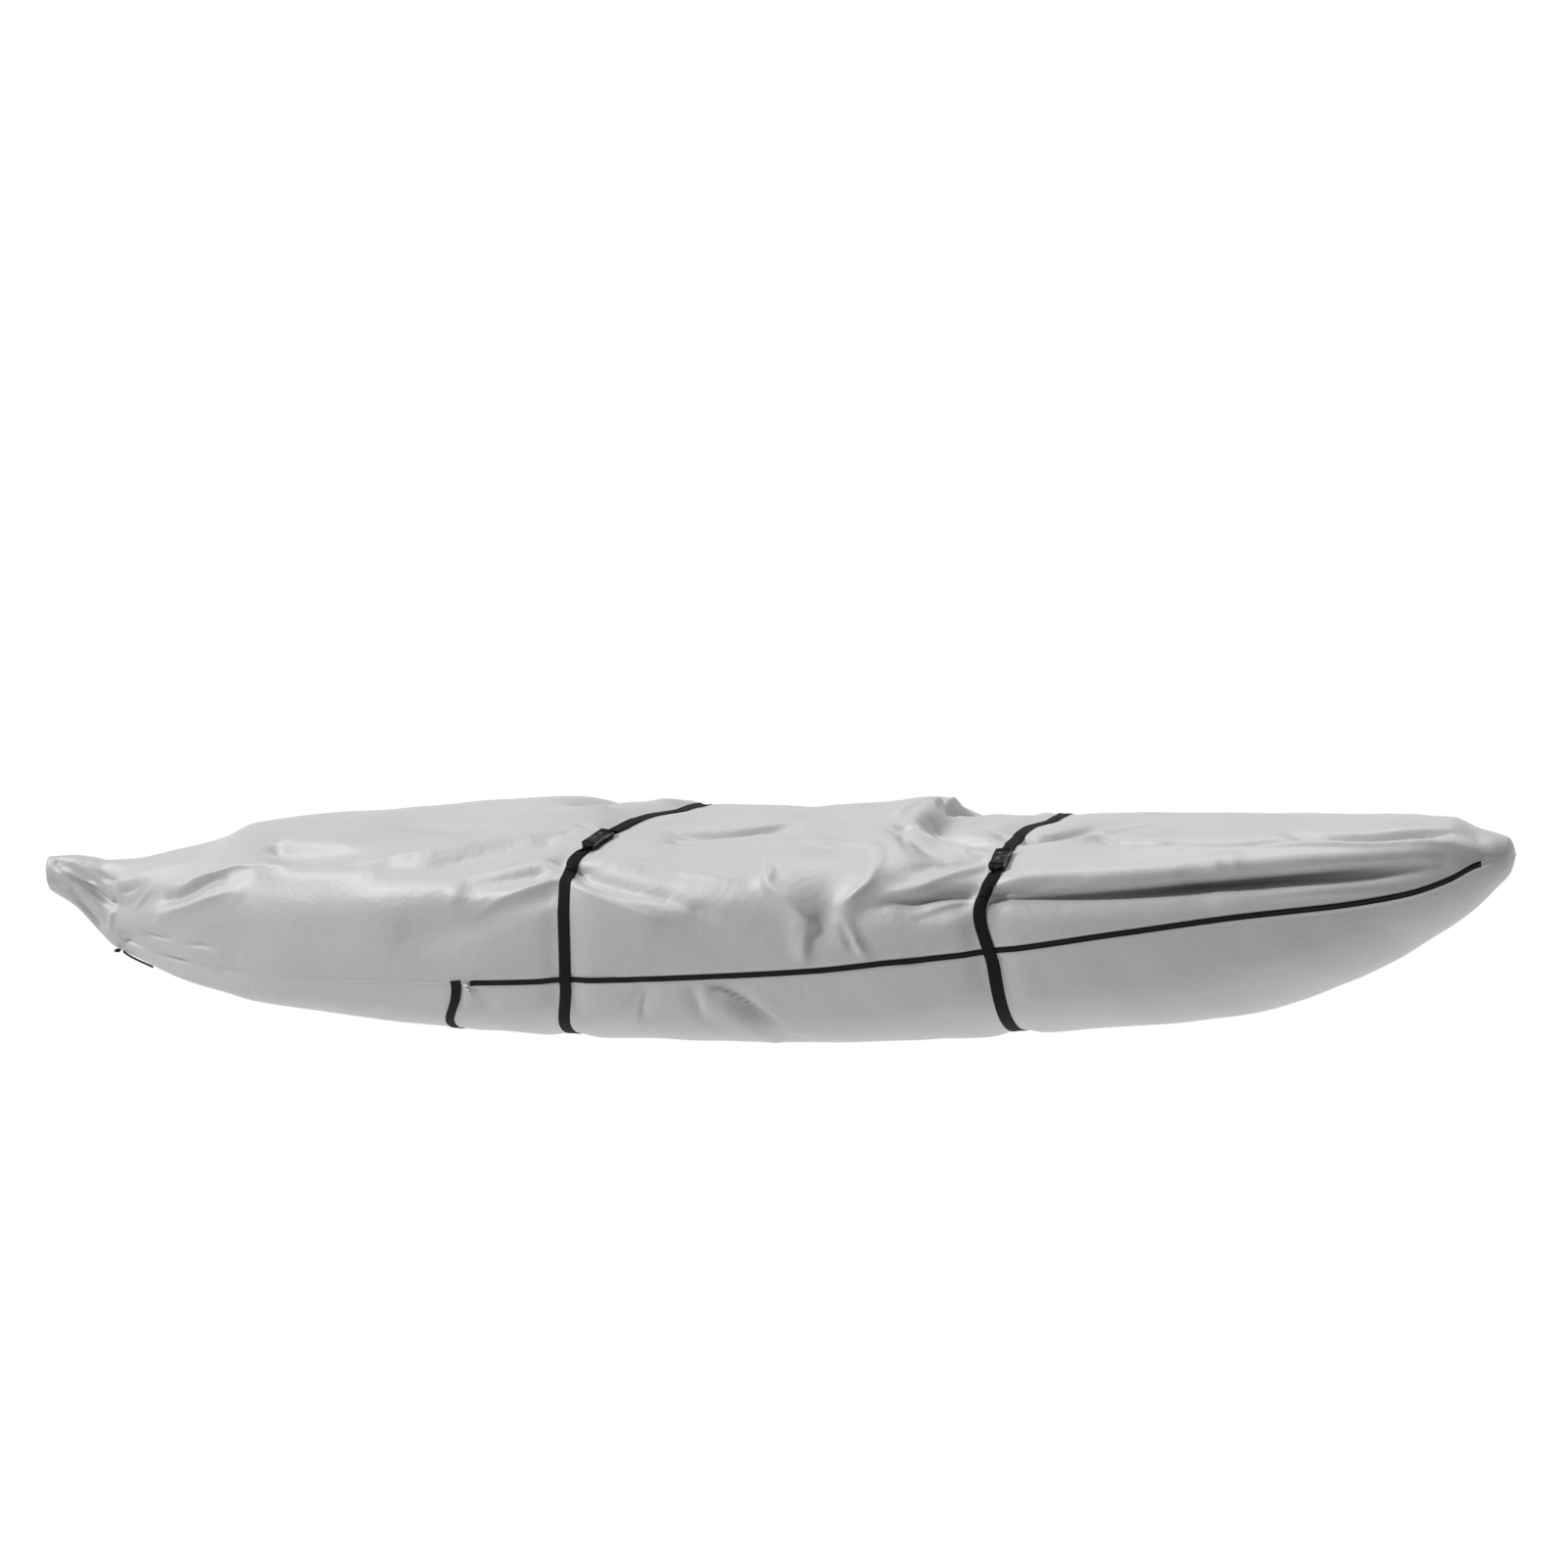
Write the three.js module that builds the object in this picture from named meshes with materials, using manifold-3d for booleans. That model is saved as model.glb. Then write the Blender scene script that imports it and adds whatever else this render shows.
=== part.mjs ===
// Kayak storage cover: a silver coated polyester bag drawn over a kayak, which is not built.
// Millimetres, +Z up. The tail with its drawcord is at -X, the bow at +X, the zip on the -Y side.
// Heights in the tables are over the level of the keel at mid-length. The group is then lowered,
// so that the origin lies under the top of the cover, where the kayak's deck carries it.
// Girth is the distance along the cloth from the deck's centre line, less than 0 on the -Y side.
import * as THREE from 'three';
import { mergeVertices } from 'three/addons/utils/BufferGeometryUtils.js';
import Module from 'manifold-3d';

const TAIL_X = -1600;
const BOW_X = 1600;
const BOW_CLOSE_X = 1594;
const BOW_HEIGHT = 348;
const DECK_UNDERSIDE = 446;

const CLOTH = 1.6;
const SEAM_GAP = 0.5;
const SEAM_BAND = 8;

const WEBBING_WIDTH = 25;
const WEBBING_THICKNESS = 1.5;
const WEBBING_CLEAR = 0.6;
const STRAP_PRESS = 7;
const STRAP_PRESS_SPREAD = 30;
const STRAP_CALM_SHARE = 0.85;
const STRAP_CALM_SPREAD = 24;
const STRAP_SHIFT_SPREAD = 260;
const TAB_SHIFT_SPREAD = 108;
const FULL_SHIFT_GIRTH = 400;

const ZIP_FROM_X = -437;
const ZIP_TO_X = 1540;
const ZIP_HALF_WIDTH = 6;
const ZIP_THICKNESS = 1.6;
const ZIP_CLEAR = 0.5;
const ZIP_CALM_SHARE = 0.75;
const ZIP_CALM_SPREAD = 28;

const SLIDER_X = -447;
const SLIDER_LENGTH = 14;
const SLIDER_WIDTH = 10;
const SLIDER_HEIGHT = 4.5;
const SLIDER_TIP = 1.4;
const SLIDER_CORNER = 1.6;
const SLIDER_CLEAR = 0.8;
const PULL_LENGTH = 17;
const PULL_WIDTH = 8;
const PULL_THICKNESS = 1.4;
const PULL_CLEAR = 2.2;
const PULL_CORNER = 1.8;

// The side-release buckles. Along runs up the strap over the deck, and height out of the cloth.
const BUCKLE = {
  halfWidth: 17,
  low: 1,
  high: 10.6,
  corner: 3,
  socketEnd: -33,
  mouth: 6,
  plugEnd: 33,
  joint: 0.4,
  barWidth: 6,
  barLow: 3,
  barHigh: 8,
  slotWidth: 5,
  slotHalfLength: 13.5,
  cavityHalfWidth: 14.6,
  cavityLow: 3.2,
  cavityHigh: 8.4,
  cavityEnd: -19,
  windowFrom: -13,
  windowTo: -1,
  prongEnd: -17,
  prongLow: 3.9,
  prongHigh: 7.7,
  armInner: 8,
  armOuter: 12.5,
  hookOuter: 16.4,
  guideHalfWidth: 3,
};
const BUCKLE_GIRTHS = { strap1: -222, strap2: -250 };
const STRAP_TURN_RADIUS = 2.4;
const STRAP_LAYER_GAP = 0.4;
const STRAP_FREE_ENDS = { socket: 60, plug: 95 };
const STRAP_TO_BUCKLE = 42;

const CORD_DIAMETER = 5;
const CORD_KNOT_AT = [-1433.4, -30, 153.4];
const CORD_KNOT_RADIUS = 4;
const CORD_ROUTE = [
  [-1421.6, -26.4, 150.8], [-1417, -25, 146.2], [-1412.5, -23.4, 142], [-1407.5, -21.8, 138.1],
  [-1402.5, -20.4, 134.6], [-1397.5, -19.2, 131.5], [-1392.5, -18.2, 128.6],
  [-1387.5, -17.2, 125.9], [-1382.5, -16.4, 123.3], [-1377.5, -15.6, 120.9],
  [-1372.5, -15, 118.5], [-1367.5, -14.6, 116.2], [-1362.5, -14.4, 113.9], [-1357.5, -14.4, 111.6],
];

const ARC_STEPS = 48;
const FOLD_STEPS = 6;
const FOLD_REACH = 3;
const CORD_STEPS = 14;

const CLOTH_GREY = 0xb4b3b4;
const HULL_GREY = 0xaeadae;
const WEBBING_BLACK = 0x131215;
const PLASTIC_BLACK = 0x0e0e10;
const SLIDER_SILVER = 0xb9bbbe;

// The cover's section at stations along it. The deck and hull powers make each half of the
// section rounder or squarer, and 2 is an ellipse.
const STATION_COLUMNS = ['x', 'keel', 'beam', 'crown', 'halfWidth', 'deckPower', 'hullPower', 'seam'];
const STATIONS = [
  [-1600, 284, 324, 364, 24, 2.0, 2.0, 312],
  [-1540, 246, 305, 366, 30, 2.0, 2.0, 285],
  [-1490, 190, 278, 361, 32, 2.0, 2.0, 245],
  [-1455, 155, 256, 354, 36, 2.0, 2.0, 215],
  [-1400, 132, 246, 355, 62, 2.0, 2.0, 190],
  [-1280, 88, 243, 373, 124, 2.0, 2.1, 165],
  [-1160, 61, 246, 403, 178, 2.0, 2.3, 153],
  [-1073, 45, 252, 437, 212, 2.0, 2.4, 150],
  [-1000, 40, 257, 444, 234, 2.0, 2.5, 150],
  [-850, 29, 268, 453, 275, 2.1, 2.7, 150],
  [-600, 14, 282, 463, 320, 2.2, 3.0, 155],
  [-300, 0, 290, 471, 345, 2.3, 3.1, 165],
  [0, -5, 295, 442, 355, 2.4, 3.1, 178],
  [300, -8, 300, 447, 350, 2.4, 3.1, 195],
  [440, -6, 303, 455, 341, 2.4, 3.0, 210],
  [520, 1, 305, 424, 336, 2.4, 2.9, 217],
  [640, 9, 308, 420, 326, 2.5, 2.8, 228],
  [900, 21, 318, 413, 290, 2.8, 2.5, 259],
  [1120, 45, 328, 412, 245, 3.0, 2.2, 281],
  [1293, 104, 338, 416, 198, 3.0, 2.0, 291],
  [1404, 165, 344, 418, 156, 2.9, 1.9, 302],
  [1480, 210, 348, 415, 118, 2.6, 1.9, 322],
  [1533, 252, 350, 394, 84, 2.3, 2.0, 345],
  [1570, 290, 349, 385, 54, 2.2, 2.0, 350],
  [1590, 314, 348, 377, 32, 2.0, 2.0, 350],
  [1600, 346, 348, 350, 2, 2.0, 2.0, 348],
];

// Each webbing band runs round the cover near x, shifted along it by its table of girth and shift.
const BANDS = {
  strap1: {
    x: -220,
    shifts: [
      [-830, -70], [-700, -50], [-566, -14], [-404, -2], [-300, 2], [-230, 32], [-167, 54], [-34, 84],
      [60, 122], [200, 120], [350, 100], [560, 40], [700, -20], [830, -70],
    ],
  },
  strap2: {
    x: 635,
    shifts: [
      [-800, 15], [-662, 12], [-494, 8], [-383, -12], [-341, -4], [-285, 14], [-181, 20], [-23, 28],
      [60, 58], [200, 58], [350, 40], [560, 22], [800, 15],
    ],
  },
  tab: {
    x: -472,
    shifts: [[-830, -58], [-675, -42], [-548, 0], [560, 0], [675, -42], [830, -58]],
  },
};

// Main folds, each a curve from (x, girth) by a middle point to its end, with the width and
// depth at both ends. A depth below 0 is a trough, and above 0 a ridge.
const FOLD_COLUMNS = [
  'x0', 'g0', 'x1', 'g1', 'x2', 'g2', 'width0', 'width2', 'depth0', 'depth2',
];
const FOLDS = [
  // stern quarter, near side
  [-950, -165, -855, -222, -725, -246, 26, 32, -17, -7],
  [-945, -212, -760, -268, -555, -280, 26, 30, 11, 4],
  [-1230, -176, -1140, -205, -1030, -222, 20, 26, -14, -5],
  [-1212, -158, -1140, -180, -1035, -198, 20, 26, 8, 5],
  [-1250, -198, -1160, -228, -1020, -250, 20, 28, 9, 5],
  // pleats that run from the drawn-in end along the body
  [-1410, -190, -1230, -270, -1040, -386, 16, 30, -9, -4],
  [-1400, -212, -1250, -310, -1050, -432, 16, 28, -9, -3],
  [-1400, -120, -1280, -150, -1180, -160, 18, 28, -8, -3],
  [-1390, -70, -1270, -80, -1140, -75, 18, 34, 8, 3],
  // pleats of the tail
  [-1570, -24, -1492, -64, -1428, -106, 12, 16, -5, -7],
  [-1555, -46, -1490, -90, -1425, -132, 12, 16, 4, 6],
  [-1530, -90, -1504, -124, -1478, -153, 12, 14, -4, -6],
  [-1580, 20, -1490, 60, -1420, 104, 12, 16, -4, -7],
  [-1540, 60, -1490, 100, -1430, 140, 12, 16, 4, 6],
  // pulled towards the first strap
  [-630, -278, -440, -286, -292, -244, 32, 24, -8, -14],
  [-430, -356, -360, -350, -290, -338, 26, 22, -7, -10],
  [-455, -370, -340, -362, -225, -346, 24, 22, 7, 10],
  [-560, -440, -400, -420, -260, -380, 40, 28, -5, -8],
  [-206, -355, -150, -378, -40, -424, 24, 30, 12, 4],
  [-196, -330, -120, -350, -10, -372, 24, 34, -13, -4],
  [-240, -60, -300, -90, -420, -110, 30, 46, 9, 3],
  // middle of the deck and side
  [-20, -193, 110, -180, 195, -156, 24, 24, -13, -9],
  [-20, -232, 90, -224, 190, -205, 28, 28, 7, 5],
  [320, -232, 332, -330, 318, -430, 78, 34, -20, -8],
  [204, -336, 258, -385, 290, -420, 22, 22, 9, 8],
  [270, -434, 270, -462, 275, -494, 20, 18, 7, 5],
  [352, -430, 374, -460, 396, -490, 18, 18, 8, 5],
  [425, -328, 394, -362, 366, -394, 24, 22, 7, 6],
  // raised peak before the second strap
  [468, 30, 455, -80, 440, -146, 34, 26, 13, 4],
  [430, -160, 500, -212, 600, -236, 24, 26, -15, -9],
  [504, -96, 540, -66, 572, -40, 30, 24, -17, -8],
  [500, -150, 545, -150, 596, -170, 26, 26, 8, 6],
  // pulled towards the second strap, under the gunwale
  [405, -402, 520, -376, 604, -354, 26, 24, -6, -17],
  [420, -436, 520, -412, 610, -396, 30, 26, 3, 8],
  // long fold under the gunwale to the bow
  [660, -352, 866, -334, 1030, -296, 24, 28, -19, -17],
  [1030, -296, 1250, -246, 1470, -164, 28, 18, -17, -5],
  [680, -312, 900, -284, 1080, -240, 34, 34, 9, 8],
  [1080, -240, 1260, -205, 1440, -148, 34, 22, 8, 4],
  // deck near the bow
  [690, -202, 770, -155, 850, -112, 26, 26, -11, -6],
  [980, -152, 1230, -134, 1530, -50, 26, 18, -10, -4],
  [672, -222, 800, -134, 925, -64, 28, 28, 9, 6],
  [905, -206, 1150, -164, 1520, -80, 26, 20, 9, 4],
  // hull panel, near side
  [-60, -566, -92, -630, -115, -692, 20, 22, -6, -3],
  [40, -572, 44, -600, 48, -632, 20, 20, -7, -3],
  [86, -562, 150, -610, 214, -748, 20, 22, -12, -8],
  [60, -590, 120, -640, 170, -740, 26, 26, 6, 4],
  [-420, -600, -430, -660, -440, -730, 26, 26, -5, -3],
  // far side
  [-1400, 190, -1230, 280, -1040, 400, 16, 30, -9, -4],
  [-300, 40, -280, 130, -262, 240, 46, 42, -26, -20],
  [-150, 110, -110, 180, -100, 250, 30, 30, 10, 9],
  [480, 100, 530, 170, 590, 225, 40, 42, -34, -18],
  [-1240, 190, -1120, 214, -1000, 226, 22, 28, -12, -5],
  [-900, 250, -700, 290, -480, 300, 30, 34, -12, -6],
  [-640, 350, -420, 330, -150, 322, 34, 26, -8, -14],
  [-80, 345, 60, 372, 210, 420, 26, 32, -13, -5],
  [-90, 380, 40, 410, 170, 470, 26, 30, 9, 4],
  [250, 250, 300, 340, 280, 440, 60, 34, -14, -7],
  [420, 380, 540, 360, 650, 340, 30, 26, -7, -15],
  [720, 345, 940, 325, 1180, 262, 26, 28, -17, -13],
  [1180, 262, 1330, 222, 1470, 160, 26, 18, -12, -5],
  [760, 290, 960, 268, 1200, 215, 34, 30, 9, 6],
  [900, 130, 1150, 120, 1450, 70, 28, 22, -9, -4],
  [-60, 160, 120, 150, 330, 170, 30, 30, -9, -6],
  [120, 600, 170, 660, 210, 740, 24, 26, -8, -5],
];

const HALF_WEBBING = WEBBING_WIDTH / 2;

// Stretches of the cover between grid lines, with the number of cells in each.
const STRETCHES = [
  { to: -1400, cells: 6 },
  { to: BANDS.tab.x - HALF_WEBBING, cells: 18 },
  { to: BANDS.tab.x + HALF_WEBBING, cells: 1, band: 'tab' },
  { to: BANDS.strap1.x - HALF_WEBBING, cells: 5 },
  { to: BANDS.strap1.x + HALF_WEBBING, cells: 1, band: 'strap1' },
  { to: BANDS.strap2.x - HALF_WEBBING, cells: 19 },
  { to: BANDS.strap2.x + HALF_WEBBING, cells: 1, band: 'strap2' },
  { to: 1480, cells: 16 },
  { to: BOW_CLOSE_X, cells: 5 },
];

const UPPER_NEAR_CELLS = 13;
const UPPER_FAR_CELLS = 9;
const HULL_NEAR_CELLS = 5;
const HULL_FAR_CELLS = 4;

const named = (columns, row) => Object.fromEntries(columns.map((column, n) => [column, row[n]]));
const stations = STATIONS.map((row) => named(STATION_COLUMNS, row));
const folds = FOLDS.map((row) => named(FOLD_COLUMNS, row));

const clamp = (value, low, high) => Math.min(Math.max(value, low), high);
const mix = (a, b, t) => a + (b - a) * t;
const bell = (distance, spread) => Math.exp(-((distance / spread) ** 2));

// Slopes of a smooth curve through a table's rows that never overshoots them
function slopes(xs, ys) {
  const step = xs.slice(1).map((x, n) => x - xs[n]);
  const rise = step.map((h, n) => (ys[n + 1] - ys[n]) / h);
  return xs.map((_, n) => {
    if (n === 0 || n === xs.length - 1) {
      return rise[n === 0 ? 0 : n - 1];
    }
    if (rise[n - 1] * rise[n] <= 0) {
      return 0;
    }
    const before = 2 * step[n] + step[n - 1];
    const after = step[n] + 2 * step[n - 1];
    return (before + after) / (before / rise[n - 1] + after / rise[n]);
  });
}

function smoothCurve(xs, ys) {
  const slope = slopes(xs, ys);
  return (x) => {
    const at = clamp(x, xs[0], xs[xs.length - 1]);
    let k = 0;
    while (k < xs.length - 2 && at > xs[k + 1]) {
      k += 1;
    }
    const h = xs[k + 1] - xs[k];
    const t = (at - xs[k]) / h;
    const values = ys[k] * (1 + 2 * t) * (1 - t) ** 2 + ys[k + 1] * t * t * (3 - 2 * t);
    return values + h * (slope[k] * t * (1 - t) ** 2 - slope[k + 1] * t * t * (1 - t));
  };
}

const stationX = stations.map((row) => row.x);
const stationCurve = (column) => smoothCurve(stationX, stations.map((row) => row[column]));
const along = Object.fromEntries(
  STATION_COLUMNS.slice(1).map((column) => [column, stationCurve(column)]),
);
const bandShift = Object.fromEntries(
  Object.entries(BANDS).map(([name, band]) => [
    name,
    smoothCurve(band.shifts.map(([girth]) => girth), band.shifts.map(([, shift]) => shift)),
  ]),
);

// Half of a section, from the deck's centre line round to the keel, with the girth at each point
function halfSection(x) {
  const at = Object.fromEntries(Object.entries(along).map(([column, curve]) => [column, curve(x)]));
  const points = [];
  for (let n = 0; n <= ARC_STEPS; n += 1) {
    const angle = (Math.PI * n) / ARC_STEPS;
    const upper = n <= ARC_STEPS / 2;
    const power = 2 / (upper ? at.deckPower : at.hullPower);
    const side = at.halfWidth * Math.abs(Math.sin(angle)) ** power;
    const reach = Math.abs(Math.cos(angle)) ** power;
    const height = mix(at.beam, upper ? at.crown : at.keel, reach);
    const last = points[n - 1];
    const girth = last ? last.girth + Math.hypot(side - last.side, height - last.height) : 0;
    points.push({ side, height, girth });
  }
  return { points, full: points[ARC_STEPS].girth, seamHeight: at.seam };
}

const sectionCache = new Map();

function sectionAt(x) {
  const key = Math.round(x * 20);
  if (!sectionCache.has(key)) {
    sectionCache.set(key, halfSection(x));
  }
  return sectionCache.get(key);
}

// Girth at which the near and far seams lie
function seamGirth(x) {
  const { points, seamHeight } = sectionAt(x);
  const n = points.findIndex((point) => point.height <= seamHeight);
  const above = points[n - 1];
  const below = points[n];
  const share = (above.height - seamHeight) / (above.height - below.height);
  return mix(above.girth, below.girth, share);
}

// The cover without its folds. A girth past the keel goes on up the other side.
function bareSurface(x, girth) {
  const { points, full } = sectionAt(x);
  const past = Math.abs(girth) > full;
  const reach = past ? 2 * full - Math.abs(girth) : Math.abs(girth);
  let n = 0;
  while (n < ARC_STEPS - 1 && points[n + 1].girth < reach) {
    n += 1;
  }
  const a = points[n];
  const b = points[n + 1];
  const share = (reach - a.girth) / (b.girth - a.girth);
  const side = mix(a.side, b.side, share);
  const hand = Math.sign(girth) * (past ? -1 : 1);
  return new THREE.Vector3(x, hand * side, mix(a.height, b.height, share));
}

// Outward direction of a surface given as a function of x and girth
function outward(surface, x, girth) {
  const step = Math.min(3, sectionAt(x).full / 20);
  const before = Math.max(x - step, TAIL_X);
  const after = Math.min(x + step, BOW_X - 1);
  const lengthwise = surface(after, girth).sub(surface(before, girth));
  const across = surface(x, girth + step).sub(surface(x, girth - step));
  return lengthwise.cross(across).normalize();
}

// Each fold's middle line in short straight steps, with its width and depth at each
const foldLines = folds.map((fold) => {
  const line = [];
  for (let n = 0; n <= FOLD_STEPS; n += 1) {
    const t = n / FOLD_STEPS;
    const bend = (a, b, c) => {
      const middle = 2 * b - (a + c) / 2;
      return a * (1 - t) ** 2 + 2 * middle * t * (1 - t) + c * t * t;
    };
    line.push({
      x: bend(fold.x0, fold.x1, fold.x2),
      girth: bend(fold.g0, fold.g1, fold.g2),
      width: mix(fold.width0, fold.width2, t),
      depth: mix(fold.depth0, fold.depth2, t),
    });
  }
  return line;
});

function foldDepth(line, x, girth) {
  let nearest = Infinity;
  let depth = 0;
  for (let n = 0; n < line.length - 1; n += 1) {
    const a = line[n];
    const b = line[n + 1];
    const run = b.x - a.x;
    const drop = b.girth - a.girth;
    const t = clamp(((x - a.x) * run + (girth - a.girth) * drop) / (run * run + drop * drop), 0, 1);
    const away = Math.hypot(x - mix(a.x, b.x, t), girth - mix(a.girth, b.girth, t));
    const ratio = away / mix(a.width, b.width, t);
    if (ratio < nearest) {
      nearest = ratio;
      depth = mix(a.depth, b.depth, t);
    }
  }
  return nearest < FOLD_REACH ? depth * bell(nearest, 1) : 0;
}

// How far the cloth stands out from its bare section, less near the webbing and the zip
function relief(x, girth, lineX) {
  const away = ({ x: bandX }) => Math.abs(lineX - bandX);
  const strapAway = Math.min(away(BANDS.strap1), away(BANDS.strap2));
  const tabAway = girth < -seamGirth(x) ? away(BANDS.tab) : Infinity;
  const zipAway = girth < 0 && x > ZIP_FROM_X ? Math.abs(girth + seamGirth(x)) : Infinity;
  const calmByBand = 1 - STRAP_CALM_SHARE * bell(Math.min(strapAway, tabAway), STRAP_CALM_SPREAD);
  const calmByZip = 1 - ZIP_CALM_SHARE * bell(zipAway, ZIP_CALM_SPREAD);
  const press = STRAP_PRESS * bell(Math.max(0, strapAway - HALF_WEBBING), STRAP_PRESS_SPREAD);
  const folded = foldLines.reduce((sum, line) => sum + foldDepth(line, x, girth), 0);
  return folded * calmByBand * calmByZip - press;
}

// A grid line's place moves along the cover with the webbing nearest to it
function shiftedX(lineX, girth) {
  const { full } = sectionAt(lineX);
  const ends = Math.min(1, full / FULL_SHIFT_GIRTH);
  let x = lineX;
  for (const [name, band] of Object.entries(BANDS)) {
    const spread = name === 'tab' ? TAB_SHIFT_SPREAD : STRAP_SHIFT_SPREAD;
    x += ends * bandShift[name](girth) * bell(lineX - band.x, spread);
  }
  return x;
}

// The cloth's outer face, by grid line and girth
function clothSurface(lineX, girth) {
  const x = shiftedX(lineX, girth);
  const fitted = (girth * sectionAt(x).full) / sectionAt(lineX).full;
  const base = bareSurface(x, fitted);
  return base.addScaledVector(outward(bareSurface, x, fitted), relief(x, fitted, lineX));
}

function clothPoint(lineX, girth) {
  return { at: clothSurface(lineX, girth), out: outward(clothSurface, lineX, girth) };
}

const gridLines = [{ x: TAIL_X }];
for (const { to, cells, band } of STRETCHES) {
  const from = gridLines[gridLines.length - 1].x;
  for (let n = 1; n <= cells; n += 1) {
    gridLines.push({ x: mix(from, to, n / cells), band });
  }
}

const evenGirths = (from, to, cells) =>
  Array.from({ length: cells + 1 }, (_, n) => mix(from, to, n / cells));

// Girths of the rows of both panels, with a narrow band of cells along each seam
function rowsOf(lineX) {
  const seam = seamGirth(lineX);
  const { full } = sectionAt(lineX);
  const band = Math.min(SEAM_BAND, 0.15 * Math.min(seam, full - seam));
  const upper = [
    -seam,
    ...evenGirths(band - seam, 0, UPPER_NEAR_CELLS),
    ...evenGirths(0, seam - band, UPPER_FAR_CELLS).slice(1),
    seam,
  ];
  const hull = [
    seam,
    ...evenGirths(seam + band, full, HULL_FAR_CELLS),
    ...evenGirths(-full, -seam - band, HULL_NEAR_CELLS).slice(1),
    -seam,
  ];
  return { upper, hull };
}

const upperGrid = gridLines.map(({ x }) => rowsOf(x).upper.map((girth) => clothPoint(x, girth)));
const hullGrid = gridLines.map(({ x }) => rowsOf(x).hull.map((girth) => clothPoint(x, girth)));

function geometryOf(points, triangles) {
  const geometry = new THREE.BufferGeometry();
  const places = points.flatMap((point) => point.toArray());
  geometry.setAttribute('position', new THREE.Float32BufferAttribute(places, 3));
  geometry.setIndex(triangles.flat());
  geometry.computeVertexNormals();
  return geometry;
}

// A cloth panel with an outer and an inner face, closed at the bow and open at the tail
function panelGeometry(grid, lift) {
  const lines = grid.length;
  const rows = grid[0].length;
  const raised = (point) => new THREE.Vector3(point.x, point.y, point.z + lift);
  const points = [
    ...grid.flat().map(({ at }) => raised(at)),
    ...grid.flat().map(({ at, out }) => raised(at.clone().addScaledVector(out, -CLOTH))),
  ];
  const outer = (line, row) => line * rows + row;
  const inner = (line, row) => lines * rows + line * rows + row;
  const outerTip = points.push(raised(new THREE.Vector3(BOW_X, 0, BOW_HEIGHT))) - 1;
  const innerTip = points.push(raised(new THREE.Vector3(BOW_X - 2 * CLOTH, 0, BOW_HEIGHT))) - 1;
  const triangles = [];
  const quad = (a, b, c, d) => triangles.push([a, b, c], [a, c, d]);
  for (let line = 0; line < lines - 1; line += 1) {
    for (let row = 0; row < rows - 1; row += 1) {
      quad(outer(line, row), outer(line + 1, row), outer(line + 1, row + 1), outer(line, row + 1));
      quad(inner(line, row), inner(line, row + 1), inner(line + 1, row + 1), inner(line + 1, row));
    }
    quad(outer(line, 0), inner(line, 0), inner(line + 1, 0), outer(line + 1, 0));
    quad(outer(line, rows - 1), outer(line + 1, rows - 1), inner(line + 1, rows - 1), inner(line, rows - 1));
  }
  const last = lines - 1;
  for (let row = 0; row < rows - 1; row += 1) {
    quad(outer(0, row), outer(0, row + 1), inner(0, row + 1), inner(0, row));
    triangles.push([outer(last, row), outerTip, outer(last, row + 1)]);
    triangles.push([inner(last, row), inner(last, row + 1), innerTip]);
  }
  quad(outer(last, 0), inner(last, 0), innerTip, outerTip);
  quad(outer(last, rows - 1), outerTip, innerTip, inner(last, rows - 1));
  return geometryOf(points, triangles);
}

// A flat band through rows of points across it, each with the direction of its upper face.
// Crossed chooses each cell's diagonal, so that it runs as that of the cloth under it.
function bandGeometry(rows, thickness, crossed) {
  const across = rows[0].length;
  const lower = rows.flat().map(({ at }) => at);
  const upper = rows.flat().map(({ at, out }) => at.clone().addScaledVector(out, thickness));
  const points = [...lower, ...upper];
  const low = (n, k) => n * across + k;
  const high = (n, k) => rows.length * across + n * across + k;
  const triangles = [];
  const quad = (a, b, c, d) => triangles.push([a, b, c], [a, c, d]);
  const end = rows.length - 1;
  const rim = across - 1;
  for (let n = 0; n < end; n += 1) {
    for (let k = 0; k < rim; k += 1) {
      if (crossed) {
        quad(high(n, k + 1), high(n, k), high(n + 1, k), high(n + 1, k + 1));
        quad(low(n, k + 1), low(n + 1, k + 1), low(n + 1, k), low(n, k));
      } else {
        quad(high(n, k), high(n + 1, k), high(n + 1, k + 1), high(n, k + 1));
        quad(low(n, k), low(n, k + 1), low(n + 1, k + 1), low(n + 1, k));
      }
    }
    quad(low(n, 0), low(n + 1, 0), high(n + 1, 0), high(n, 0));
    quad(low(n, rim), high(n, rim), high(n + 1, rim), low(n + 1, rim));
  }
  for (let k = 0; k < rim; k += 1) {
    quad(low(0, k), high(0, k), high(0, k + 1), low(0, k + 1));
    quad(low(end, k), low(end, k + 1), high(end, k + 1), high(end, k));
  }
  return geometryOf(points, triangles);
}

const lifted = ({ at, out }, by) => ({ at: at.clone().addScaledVector(out, by), out });

function sheetMaterial(color) {
  return new THREE.MeshStandardMaterial({ color, roughness: 0.55, metalness: 0.15 });
}

function blackMaterial(color, roughness) {
  return new THREE.MeshStandardMaterial({ color, roughness, metalness: 0 });
}

const cover = new THREE.Group();

function addPiece(name, geometry, material) {
  const mesh = new THREE.Mesh(geometry, material);
  mesh.name = name;
  cover.add(mesh);
  return mesh;
}

addPiece('upper_panel', panelGeometry(upperGrid, SEAM_GAP / 2), sheetMaterial(CLOTH_GREY));
addPiece('hull_panel', panelGeometry(hullGrid, -SEAM_GAP / 2), sheetMaterial(HULL_GREY));

// The grid line pair that a webbing band lies between
function bandLines(name) {
  const after = gridLines.findIndex(({ band }) => band === name);
  return [after, after - 1];
}

const seamGirthAt = (line) => rowsOf(gridLines[line].x).upper.at(-1);

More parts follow.
